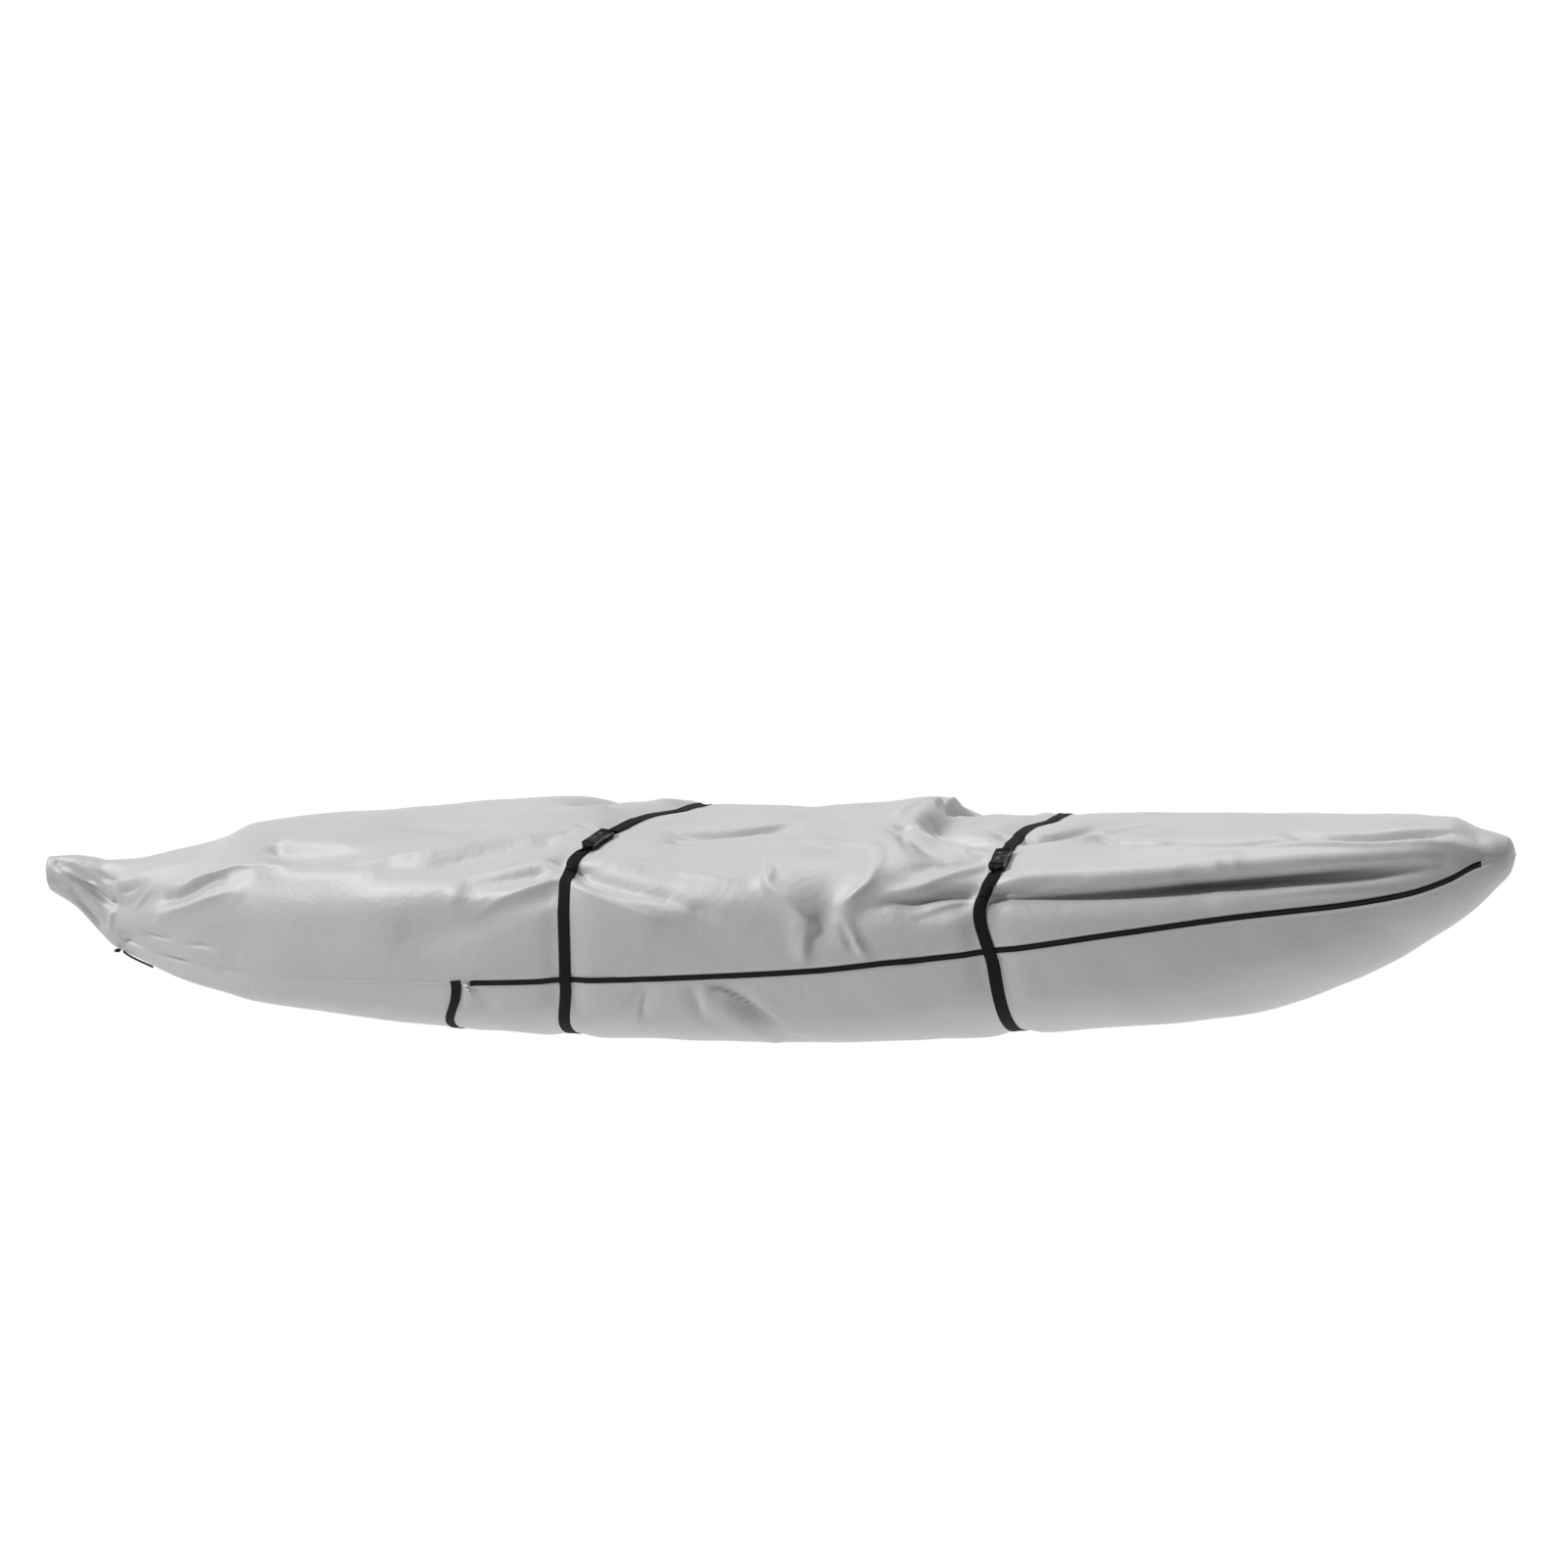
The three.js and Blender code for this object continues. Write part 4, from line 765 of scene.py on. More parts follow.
def black_webbing():
    """Woven strap with ribs across it, rows along it and a slanting twill."""
    web = Finish("black_webbing")
    across, along = web.uv_parts()
    twill = (along + across * 0.7).wave(WEBBING_TWILL)
    weave = along.wave(WEBBING_RIB) * 0.6 + across.wave(WEBBING_ROW) * 0.3 + twill * 0.5
    fuzz = web.noise(web.object_place(), 700.0, 3.0, 0.6)
    color = web.mixed(weave * 0.2 + 0.5, grey(0.004), grey(0.011, (0.001, 0, 0.002)))
    worn = web.mixed(fuzz * 0.4, color, grey(0.016))
    web.set(
        Base_Color=worn, Roughness=0.74 + fuzz * 0.12,
        Normal=web.bump(weave + fuzz * 0.5, 0.0003, 0.7), Specular_IOR_Level=0.2,
    )
    return web.material


def black_zip():
    """Close woven tape, matt and a little fuzzy."""
    tape = Finish("black_zip")
    across, along = tape.uv_parts()
    weave = across.wave(ZIP_WARP) * along.wave(ZIP_WEFT)
    fuzz = tape.noise(tape.object_place(), 800.0, 2.0, 0.6)
    color = tape.mixed(weave * 0.3 + fuzz * 0.4, grey(0.005), grey(0.014))
    tape.set(
        Base_Color=color, Roughness=0.8 - fuzz * 0.1, Specular_IOR_Level=0.2,
        Normal=tape.bump(weave + fuzz, 0.0002, 0.6),
    )
    return tape.material


def moulded_plastic(name, level, roughness):
    """Black moulded plastic with a fine spark-eroded face and scuffs."""
    plastic = Finish(name)
    place = plastic.object_place()
    grain = plastic.noise(place, 1500.0, 2.0, 0.5)
    scuff = plastic.noise(place, 160.0, 5.0, 0.7)
    rubbed = plastic.node("ShaderNodeValToRGB", {
        "stops": [(0.55, (0, 0, 0, 1)), (0.8, (1, 1, 1, 1))],
    }, [scuff])
    color = plastic.mixed(rubbed * 0.5, grey(level), grey(level * 3.2))
    plastic.set(
        Base_Color=color, Roughness=roughness + rubbed * 0.2,
        Normal=plastic.bump(grain, 0.00008, 0.5), Specular_IOR_Level=0.35,
    )
    return plastic.material


def slider_metal():
    """Pale cast metal with a fine grain."""
    metal = Finish("slider_metal")
    place = metal.object_place()
    grain = metal.noise(place, 900.0, 4.0, 0.6)
    color = metal.mixed(grain, grey(0.55), grey(0.75, (0, 0.002, 0.006)))
    metal.set(
        Base_Color=color, Roughness=0.28 + grain * 0.2, Metallic=0.9,
        Normal=metal.bump(grain, 0.00006, 0.5),
    )
    return metal.material


def braided_cord():
    """Two sets of strands that cross each other round the cord."""
    cord = Finish("black_cord")
    place = cord.object_place()
    across, along = cord.uv_parts()
    slant = across * BRAID_SLANT
    plait = (along + slant).wave(BRAID_PITCH) * (along - slant).wave(BRAID_PITCH)
    fuzz = cord.noise(place, 900.0, 3.0, 0.6)
    color = cord.mixed(plait * 0.3 + fuzz * 0.4, grey(0.008), grey(0.028))
    cord.set(
        Base_Color=color, Roughness=0.75 + fuzz * 0.1,
        Normal=cord.bump(plait + fuzz * 0.6, 0.0004, 0.7),
    )
    return cord.material


def thread_finish(name, level):
    """Twisted sewing thread."""
    thread = Finish(name)
    twist = thread.noise(thread.object_place(), 1800.0, 2.0, 0.5)
    thread.set(
        Base_Color=thread.mixed(twist, grey(level * 0.8), grey(level * 1.1)),
        Roughness=0.6, Normal=thread.bump(twist, 0.0001, 0.5),
    )
    return thread.material


UPPER_CLOTH = silver_cloth("silver_cloth_upper", 0.58)
HULL_CLOTH = silver_cloth("silver_cloth_hull", 0.6)
WEBBING = black_webbing()
ZIP_FABRIC = black_zip()
PLASTIC = moulded_plastic("buckle_plastic", 0.009, 0.36)
TEETH_PLASTIC = moulded_plastic("zip_plastic", 0.012, 0.42)
METAL = slider_metal()
CORD_BRAID = braided_cord()
SILVER_THREAD = thread_finish("silver_thread", 0.5)


# Mesh helpers

MERGE_DISTANCE = 1e-7
SMOOTH_ANGLE = 32
BEVEL_ANGLE = 35


def add_object(name, data):
    made = bpy.data.objects.new(name, data)
    bpy.context.scene.collection.objects.link(made)
    return made


def shade_smooth(mesh):
    mesh.polygons.foreach_set("use_smooth", np.ones(len(mesh.polygons), dtype=bool))


def toward(azimuth, elevation):
    """The direction of a place. Azimuth 0 stands before the zip side, and 90 off the bow."""
    turn, rise = math.radians(azimuth), math.radians(elevation)
    return Vector((
        math.sin(turn) * math.cos(rise), -math.cos(turn) * math.cos(rise), math.sin(rise),
    ))


def turned_frame(along, side, out, place):
    """Takes what is made in its own millimetres to its place in the shared frame."""
    turned = Matrix([list(axis * MM) for axis in (along, side, out)]).transposed().to_4x4()
    turned.translation = Vector(placed(place))
    return turned


def make_piece(name, points, faces, material, maps):
    """A piece from points in the shared frame, with its own map in metres."""
    mesh = bpy.data.meshes.new(name)
    mesh.from_pydata(points, [], faces)
    mesh.materials.append(material)
    layer = mesh.uv_layers.new(name="UVMap")
    corners = np.empty(len(mesh.loops), dtype=np.int32)
    mesh.loops.foreach_get("vertex_index", corners)
    layer.data.foreach_set("uv", np.asarray(maps, float)[corners].ravel())
    shade_smooth(mesh)
    mesh.validate()
    mesh.update()
    return add_object(name, mesh)


def finish_piece(piece, slot, *nodes):
    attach(piece, "root")
    if nodes:
        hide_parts(*nodes)
    return piece


def lattice_faces(indices, flip=False):
    """Faces between the rows of a lattice of point numbers."""
    a, b = indices[:-1, :-1], indices[1:, :-1]
    c, d = indices[1:, 1:], indices[:-1, 1:]
    corners = (a, d, c, b) if flip else (a, b, c, d)
    return np.stack(corners, -1).reshape(-1, 4).tolist()


def make_loft(name, rings, material, maps):
    """A closed piece through rings of points, with flat ends."""
    count, around = rings.shape[:2]
    numbers = np.arange(count * around).reshape(count, around)
    wrapped = np.concatenate([numbers, numbers[:, :1]], 1)
    faces = lattice_faces(wrapped)
    faces.append(numbers[0].tolist())
    faces.append(numbers[-1][::-1].tolist())
    piece = make_piece(name, placed(rings.reshape(-1, 3)), faces, material, maps)
    face_outward(piece)
    return piece


def face_outward(piece):
    work = bmesh.new()
    work.from_mesh(piece.data)
    bmesh.ops.remove_doubles(work, verts=work.verts, dist=MERGE_DISTANCE)
    bmesh.ops.recalc_face_normals(work, faces=work.faces)
    work.to_mesh(piece.data)
    work.free()


# The camera stands at the photograph's place

CAMERA_PLACE = (1.833, -5.287, 0.954)
CAMERA_AZIMUTH = 17.69
CAMERA_ELEVATION = 9.17
CAMERA_ROLL = 3.75
CAMERA_LENS = 62.73
CAMERA_SENSOR = 36


def make_camera():
    turn, roll = math.radians(CAMERA_AZIMUTH), math.radians(CAMERA_ROLL)
    back = toward(CAMERA_AZIMUTH, CAMERA_ELEVATION)
    level = Vector((math.cos(turn), math.sin(turn), 0))
    upright = back.cross(level)
    right = level * math.cos(roll) - upright * math.sin(roll)
    up = upright * math.cos(roll) + level * math.sin(roll)
    lens = bpy.data.cameras.new("camera")
    lens.lens = CAMERA_LENS
    lens.sensor_width = CAMERA_SENSOR
    camera = add_object("camera", lens)
    camera.matrix_world = Matrix((
        (right.x, up.x, back.x, CAMERA_PLACE[0]),
        (right.y, up.y, back.y, CAMERA_PLACE[1]),
        (right.z, up.z, back.z, CAMERA_PLACE[2]),
        (0, 0, 0, 1),
    ))
    bpy.context.scene.camera = camera


make_camera()


# The drawcord's free end, and the knot it is tied in

KNOT_MAP_ROUND = 0.012
KNOT_MAP_STEP = 0.0012


def make_cord():
    curve = bpy.data.curves.new("drawcord_line", "CURVE")
    curve.dimensions = "3D"
    curve.bevel_depth = CORD_DIAMETER / 2 * MM
    curve.bevel_resolution = 4
    curve.use_fill_caps = True
    curve.resolution_u = 6
    line = curve.splines.new("POLY")
    route = placed(CORD_ROUTE)
    line.points.add(len(route) - 1)
    for point, place in zip(line.points, route):
        point.co = (*place, 1)
    curve.materials.append(CORD_BRAID)
    cord = add_object("drawcord_line", curve)
    finish_piece(cord, "black_cord", "drawcord")
    return cord, route


def tube_rings(path, radius, around):
    """Rings of points round a path, turned as little as can be from one to the next."""
    path = np.asarray(path, float)
    tangent = np.gradient(path, axis=0)
    tangent /= np.linalg.norm(tangent, axis=1, keepdims=True)
    side = np.cross(tangent[0], (0.3, 0.2, 1))
    angles = np.linspace(0, 2 * math.pi, around, endpoint=False)
    rings = []
    for place, ahead in zip(path, tangent):
        side = side - ahead * side.dot(ahead)
        side /= np.linalg.norm(side)
        other = np.cross(ahead, side)
        ring = place + radius * (np.outer(np.cos(angles), side) + np.outer(np.sin(angles), other))
        rings.append(ring)
    return np.array(rings)


def make_knot():
    """An overhand knot drawn tight."""
    t = np.linspace(0, 2 * math.pi, KNOT_STEPS + 1)[:-1]
    across = KNOT_RADIUS * (2 + np.cos(3 * t)) * 0.5
    height = KNOT_RADIUS * np.sin(3 * t) * 0.5
    path = np.stack([across * np.cos(2 * t), across * np.sin(2 * t), height], -1) + CORD_KNOT_AT
    rings = tube_rings(np.concatenate([path, path[:1]]), KNOT_TUBE, KNOT_SIDES)[:-1]
    numbers = np.arange(KNOT_STEPS * KNOT_SIDES).reshape(KNOT_STEPS, KNOT_SIDES)
    wrapped = np.pad(numbers, ((0, 1), (0, 1)), "wrap")
    maps = [
        (KNOT_MAP_ROUND * n / KNOT_SIDES, KNOT_MAP_STEP * k)
        for k in range(KNOT_STEPS) for n in range(KNOT_SIDES)
    ]
    points = placed(rings.reshape(-1, 3))
    knot = make_piece("drawcord_tied", points, lattice_faces(wrapped), CORD_BRAID, maps)
    face_outward(knot)
    return finish_piece(knot, "black_cord", "drawcord_knot")


drawcord, cord_route = make_cord()
drawcord_tied = make_knot()
cord_length = float(np.linalg.norm(np.diff(cord_route, axis=0), axis=1).sum())


# The two cloth panels

grid_lines = [TAIL_X]
for stretch_end, cells in STRETCHES:
    grid_lines.extend(np.linspace(grid_lines[-1], stretch_end, cells + 1)[1:])
grid_lines = np.array(grid_lines, float)


def panel_girths():
    """Girths of each panel's rows on every grid line, with close rows along the hems."""
    seam, full = seam_girth(grid_lines), full_girth(grid_lines)
    room = np.minimum(1, HEM_MOST_SHARE * np.minimum(seam, full - seam) / HEM_WIDTH)
    steps = np.array(HEM_STEPS)
    hem = np.outer(room, steps)
    last = hem[:, -1]

    def evenly(start, end, cells):
        share = np.linspace(0, 1, cells + 1)
        return start[:, None] + (end - start)[:, None] * share

    zero = np.zeros(len(seam))
    upper = np.concatenate([
        -seam[:, None] + hem[:, :-1],
        evenly(last - seam, zero, UPPER_NEAR_CELLS),
        evenly(zero, seam - last, UPPER_FAR_CELLS)[:, 1:],
        seam[:, None] - hem[:, -2::-1],
    ], 1)
    hull = np.concatenate([
        seam[:, None] + hem[:, :-1],
        evenly(seam + last, full, HULL_FAR_CELLS),
        evenly(-full, -seam - last, HULL_NEAR_CELLS)[:, 1:],
        -seam[:, None] - hem[:, -2::-1],
    ], 1)
    return upper, hull


def grid_outward(points):
    out = np.cross(np.gradient(points, axis=0), np.gradient(points, axis=1))
    return out / np.linalg.norm(out, axis=-1, keepdims=True)


def inner_face(outer):
    """Every second point of the cloth's inner face, kept behind the outer one where it bends."""
    bend = np.zeros(outer.shape[:2])
    bend[1:-1] += np.linalg.norm(outer[2:] - 2 * outer[1:-1] + outer[:-2], axis=-1)
    bend[:, 1:-1] += np.linalg.norm(outer[:, 2:] - 2 * outer[:, 1:-1] + outer[:, :-2], axis=-1)
    padded = np.pad(bend, 1)
    around = [padded[i:i + bend.shape[0], j:j + bend.shape[1]] for i in range(3) for j in range(3)]
    depth = CLOTH + INNER_CLEAR * np.max(around, axis=0)
    return (outer - depth[..., None] * grid_outward(outer))[::2, ::2]


def make_panel(name, girths, material, turned_under):
    """A cloth panel with both faces and its rims, closed at the bow and open at the tail."""
    outer = cloth_surface(grid_lines[:, None], girths)
    inner = inner_face(outer)
    out = np.arange(outer[..., 0].size).reshape(outer.shape[:2])
    back = out.size + np.arange(inner[..., 0].size).reshape(inner.shape[:2])
    outer_tip = out.size + back.size
    inner_tip = outer_tip + 1
    tips = [(BOW_X, 0, BOW_HEIGHT), (BOW_X - 2 * CLOTH, 0, BOW_HEIGHT)]
    points = np.concatenate([outer.reshape(-1, 3), inner.reshape(-1, 3), tips])
    faces = lattice_faces(out) + lattice_faces(back, flip=True)

    def rim(edge, back_edge, flip):
        for n in range(len(back_edge) - 1):
            face = [back_edge[n], *edge[2 * n:2 * n + 3], back_edge[n + 1]]
            faces.append(face[::-1] if flip else face)

    rim(out[:, 0], back[:, 0], True)
    rim(out[:, -1], back[:, -1], False)
    rim(out[0], back[0], False)
    for row in range(out.shape[1] - 1):
        faces.append([out[-1, row], outer_tip, out[-1, row + 1]])
    for row in range(back.shape[1] - 1):
        faces.append([back[-1, row], back[-1, row + 1], inner_tip])
    faces.append([out[-1, 0], back[-1, 0], inner_tip, outer_tip])
    faces.append([out[-1, -1], outer_tip, inner_tip, back[-1, -1]])
    whole = 2 * full_girth(grid_lines)[:, None]
    unrolled = np.where(girths < 0, girths + whole, girths) if turned_under else girths
    flat = np.stack([unrolled, np.broadcast_to(grid_lines[:, None], girths.shape)], -1) * MM
    maps = [flat.reshape(-1, 2), flat[::2, ::2].reshape(-1, 2), [(0, BOW_X * MM)] * 2]
    faces = [[int(n) for n in face] for face in faces]
    return make_piece(name, placed(points), faces, material, np.concatenate(maps))


upper_girths, hull_girths = panel_girths()
upper_cloth = make_panel("upper_cloth", upper_girths, UPPER_CLOTH, False)
finish_piece(upper_cloth, "silver_cloth", "upper_panel")
hull_cloth = make_panel("hull_cloth", hull_girths, HULL_CLOTH, True)
finish_piece(hull_cloth, "silver_cloth", "hull_panel")


# Webbing

STRIP_OFFSETS = np.array([-12.5, -11.6, -8, -4, 0, 4, 8, 11.6, 12.5])
STRIP_EDGE = np.where(np.abs(STRIP_OFFSETS) == HALF_WEBBING, WEBBING_EDGE, 0)
OVER_ZIP_RISE = 1.7
OVER_ZIP_ROOM = 6
OVER_ZIP_SLOPE = 8


class Strip:
    """Rows of webbing being laid, each with points across it and one direction out."""

    def __init__(self):
        self.rows = []

    def over_cloth(self, line_x, girths, rise, inward=False):
        at, out = cloth_point(line_x + STRIP_OFFSETS[None, :], np.asarray(girths)[:, None])
        middle = out[:, len(STRIP_OFFSETS) // 2]
        rise = np.broadcast_to(rise, (len(girths),))
        for places, away, by in zip(at, middle, rise):
            self.rows.append((places + away * by, -away if inward else away))

    def row(self, places, out):
        self.rows.append((np.asarray(places), np.asarray(out)))

    def make(self, name):
        rings = []
        for places, out in self.rows:
            edge = STRIP_EDGE[:, None] * out
            top = places + out * WEBBING_THICKNESS - edge
            rings.append(np.concatenate([places + edge, top[::-1]]))
        rings = np.array(rings)
        middles = np.array([places.mean(0) for places, _ in self.rows])
        steps = np.linalg.norm(np.diff(middles, axis=0), axis=1)
        along = np.concatenate([[0], np.cumsum(steps)])
        across = np.concatenate([STRIP_OFFSETS, STRIP_OFFSETS[::-1]])
        maps = np.stack(np.broadcast_arrays(across[None, :], along[:, None]), -1).reshape(-1, 2)
        return make_loft(name, rings, WEBBING, maps * MM)


def over_zip(girths, line_x):
    """Webbing rises over the zip's tape and teeth."""
    away = np.abs(girths + seam_girth(line_x))
    return OVER_ZIP_RISE * np.clip((HEM_WIDTH + OVER_ZIP_ROOM - away) / OVER_ZIP_SLOPE, 0, 1)


class BuckleFrame:
    """A buckle's place: along goes up the strap over the deck, and height out of the cloth."""

    def __init__(self, name):
        self.line_x = BANDS[name][0]
        self.girth = BUCKLE_GIRTHS[name]
        centre, out = cloth_point(self.line_x, self.girth)
        above = cloth_surface(self.line_x, self.girth + BUCKLE_AIM)
        below = cloth_surface(self.line_x, self.girth - BUCKLE_AIM)
        up = above - below
        side = np.cross(out, up)
        self.side = side / np.linalg.norm(side)
        self.up = np.cross(self.side, out)
        self.out = out
        reach = np.array([-1, -0.5, 0, 0.5, 1]) * BUCKLE_HALF_LENGTH
        width = np.array([-1, 0, 1]) * BUCKLE_HALF_WIDTH
        spots = cloth_surface(self.line_x + width[None, :], self.girth + reach[:, None])
        self.centre = centre + out * max(0, ((spots - centre) @ out).max())

    def place(self, points):
        points = np.asarray(points, float)
        basis = np.stack([self.up, self.side, self.out])
        return self.centre + points @ basis

    def matrix(self):
        return turned_frame(self.up, self.side, self.out, self.centre)


def bar_turn(frame_of, hand):
    """The strap's way round a buckle's bar, from under it to over it."""
    inner = BUCKLE_HALF_LENGTH - BAR_WIDTH - BAR_CLEAR
    low = BAR_CLEAR + STRAP_TURN_RADIUS
    high = BAR_HIGH + BAR_CLEAR + WEBBING_THICKNESS - STRAP_TURN_RADIUS
    rows = []

    def row(along, height, out_along, out_height):
        spots = [(hand * along, width, height) for width in STRIP_OFFSETS]
        out = frame_of.up * hand * out_along + frame_of.out * out_height
        rows.append((frame_of.place(spots), out))

    row(BUCKLE_HALF_LENGTH + TURN_FROM_PAST_END, BAR_CLEAR, 0, 1)
    for centre, start in ((low, -90), (high, 0)):
        for turn in np.linspace(0, 90, STRAP_TURN_STEPS + 1):
            angle = math.radians(start + turn)
            row(
                inner - STRAP_TURN_RADIUS * math.cos(angle),
                centre + STRAP_TURN_RADIUS * math.sin(angle), math.cos(angle), -math.sin(angle),
            )
    row(BUCKLE_HALF_LENGTH + TURN_TO_PAST_END, high + STRAP_TURN_RADIUS, 0, -1)
    return rows


def make_strap(name, band, frame_of):
    """The free end over the plug's bar, the way round the cover, and over the socket's bar."""
    line_x = BANDS[band][0]
    full = full_girth(line_x)
    doubled = WEBBING_CLEAR + 2 * WEBBING_THICKNESS + STRAP_LAYER_GAP
    deck_from = frame_of.girth + STRAP_TO_BUCKLE
    side_to = frame_of.girth - STRAP_TO_BUCKLE
    strip = Strip()
    ends = np.arange(deck_from + PLUG_FREE_END, deck_from, -STRIP_STEP)
    strip.over_cloth(line_x, ends, doubled, inward=True)
    for places, out in bar_turn(frame_of, 1)[::-1]:
        strip.row(places, out)
    strip.over_cloth(line_x, np.arange(deck_from, full, STRIP_STEP), WEBBING_CLEAR)
    near = np.arange(-full, side_to, STRIP_STEP)
    strip.over_cloth(line_x, near, WEBBING_CLEAR + over_zip(near, line_x))
    for places, out in bar_turn(frame_of, -1):
        strip.row(places, out)
    ends = np.arange(side_to, side_to - SOCKET_FREE_END, -STRIP_STEP)
    strip.over_cloth(line_x, ends, doubled, inward=True)
    strap = strip.make(f"{name}_webbing")
    return finish_piece(strap, "black_webbing", name)


def make_tab():
    """From past the keel up the near side to just over the seam."""
    line_x = BANDS["tab"][0]
    seam, full = seam_girth(line_x), full_girth(line_x)
    strip = Strip()
    far = np.arange(full - TAB_PAST_KEEL, full, STRIP_STEP)
    near = np.arange(-full, -seam + TAB_OVER_SEAM, STRIP_STEP)
    strip.over_cloth(line_x, far, WEBBING_CLEAR)
    strip.over_cloth(line_x, near, WEBBING_CLEAR)
    return finish_piece(strip.make("tab_webbing"), "black_webbing", "webbing_tab")


# Buckles


def block(low, high):
    """A box between two corners, in the piece's own millimetres."""
    work = bmesh.new()
    bmesh.ops.create_cube(work, size=1)
    for vert in work.verts:
        for n in range(3):
            vert.co[n] = low[n] if vert.co[n] < 0 else high[n]
    return work


def outline_block(outline, low, high):
    """A plate with the outline that is seen from over it."""
    work = bmesh.new()
    verts = [work.verts.new((x, y, low)) for x, y in outline]
    face = work.faces.new(verts)
    moved = bmesh.ops.extrude_face_region(work, geom=[face])["geom"]
    for vert in (v for v in moved if isinstance(v, bmesh.types.BMVert)):
        vert.co.z = high
    bmesh.ops.recalc_face_normals(work, faces=work.faces)
    return work


def scratch_object(work, name):
    mesh = bpy.data.meshes.new(name)
    work.to_mesh(mesh)
    work.free()
    return add_object(name, mesh)


def carve(body, tools, operation="DIFFERENCE"):
    """Cuts or joins the tools into the body, and gives the plain result."""
    cutters = [scratch_object(tool, "cutter") for tool in tools]
    for cutter in cutters:
        change = body.modifiers.new("cut", "BOOLEAN")
        change.object = cutter
        change.operation = operation
        change.solver = "EXACT"
    apply_modifiers(body)
    for cutter in cutters:
        bpy.data.objects.remove(cutter)


def apply_modifiers(piece):
    depsgraph = bpy.context.evaluated_depsgraph_get()
    mesh = bpy.data.meshes.new_from_object(piece.evaluated_get(depsgraph))
    piece.modifiers.clear()
    piece.data = mesh


def bevel_piece(piece, width):
    change = piece.modifiers.new("bevel", "BEVEL")
    change.width = width
    change.segments = 2
    change.limit_method = "ANGLE"
    change.angle_limit = math.radians(BEVEL_ANGLE)
    apply_modifiers(piece)


def mirrored(half):
    """A whole outline from its half on one side of the middle."""
    return half + [(x, -y) for x, y in reversed(half)]


# Outlines seen from over the strap. The socket is waisted between its shoulders.
SOCKET_OUTLINE = mirrored([
    (-33, 14), (-31.5, 16), (-28, 17), (-21, 17), (-15, 16.2), (-8, 15.6), (-2, 16.2), (3, 17),
    (5, 16.8), (6, 15.8),
])
PLUG_OUTLINE = mirrored([(6.4, 15.8), (7.4, 16.8), (12, 17), (28, 17), (31.5, 16), (33, 14)])
GUIDE_OUTLINE = mirrored([(-17, -1.6), (-16, -3), (8, -3)])
ARM_OUTLINE = [
    (8, 8), (8, 12.5), (2, 12.9), (-3, 13.2), (-3.6, 16.4), (-6, 17), (-10, 16.4), (-14, 13.4),
    (-17, 10), (-16, 8), (-8, 9.6), (0, 9.2),
]


def crown_top(piece, rise):
    """Raises the top face into a soft crown across the buckle."""
    for vert in piece.data.vertices:
        if vert.co.z > CROWN_FROM_HEIGHT:
            vert.co.z += rise * (1 - (vert.co.y / BUCKLE_HALF_WIDTH) ** 2)


def bar_cutters(hand):
    """The slot beside the bar, and the steps that leave the bar thinner than the body."""
    end = hand * BUCKLE_HALF_LENGTH
    slot_to = hand * (BUCKLE_HALF_LENGTH - BAR_WIDTH)
    slot_from = hand * (BUCKLE_HALF_LENGTH - BAR_WIDTH - SLOT_WIDTH)
    slot = sorted((slot_from, slot_to))
    wide = sorted((slot_from, end + hand))
    cuts = [(slot, CUT_LOW, CUT_TOP), (wide, CUT_LOW, BAR_LOW), (wide, BAR_HIGH, CUT_TOP)]
    return [
        block((x[0], -SLOT_HALF_LENGTH, low), (x[1], SLOT_HALF_LENGTH, high))
        for x, low, high in cuts
    ]


def make_socket(name, frame_of):
    """A sleeve with a cavity for the prongs, a window on each side and a dip in its face."""
    body = scratch_object(outline_block(SOCKET_OUTLINE, BUCKLE_LOW, BUCKLE_TOP), name)
    cavity = block((-19, -14.6, 3.2), (7, 14.6, 8.4))
    windows = block((-13, -19, 3.4), (-1, 19, 8.2))
    dip = block((-16, -5.5, 9.4), (2, 5.5, CUT_TOP))
    carve(body, [cavity, windows, dip, *bar_cutters(-1)])
    return finish_buckle(body, frame_of)


def make_plug(name, frame_of):
    """A block with a dip in its face, and a guide and two hooked arms that reach into the socket."""
    body = scratch_object(outline_block(PLUG_OUTLINE, BUCKLE_LOW, BUCKLE_TOP), name)
    carve(body, bar_cutters(1))
    carve(body, [block((9, -8, 9.5), (19, 8, CUT_TOP))])
    arms = [[(x, hand * y) for x, y in ARM_OUTLINE] for hand in (1, -1)]
    prongs = [outline_block(shape, PRONGS_LOW, PRONGS_TOP) for shape in (GUIDE_OUTLINE, *arms)]
    carve(body, prongs, "UNION")
    return finish_buckle(body, frame_of)


def finish_hard(piece, material, place):
    """Gives a hard piece, made in its own millimetres, its place and its finish."""
    piece.data.transform(place)
    piece.data.materials.clear()
    piece.data.materials.append(material)
    shade_smooth(piece.data)
    piece.data.set_sharp_from_angle(angle=math.radians(SMOOTH_ANGLE))
    return piece


def finish_buckle(body, frame_of):
    bevel_piece(body, BUCKLE_BEVEL)
    crown_top(body, BUCKLE_CROWN)
    return finish_hard(body, PLASTIC, frame_of.matrix())


for number, band in ((1, "strap1"), (2, "strap2")):
    buckle_frame = BuckleFrame(band)
    make_strap(f"strap_{number}", band, buckle_frame)
    socket = make_socket(f"buckle_{number}_sleeve", buckle_frame)
    finish_piece(socket, "black_plastic", f"buckle_{number}_socket")
    plug = make_plug(f"buckle_{number}_prongs", buckle_frame)
    finish_piece(plug, "black_plastic", f"buckle_{number}_plug")
make_tab()


# The zip: tape, teeth, slider and pull

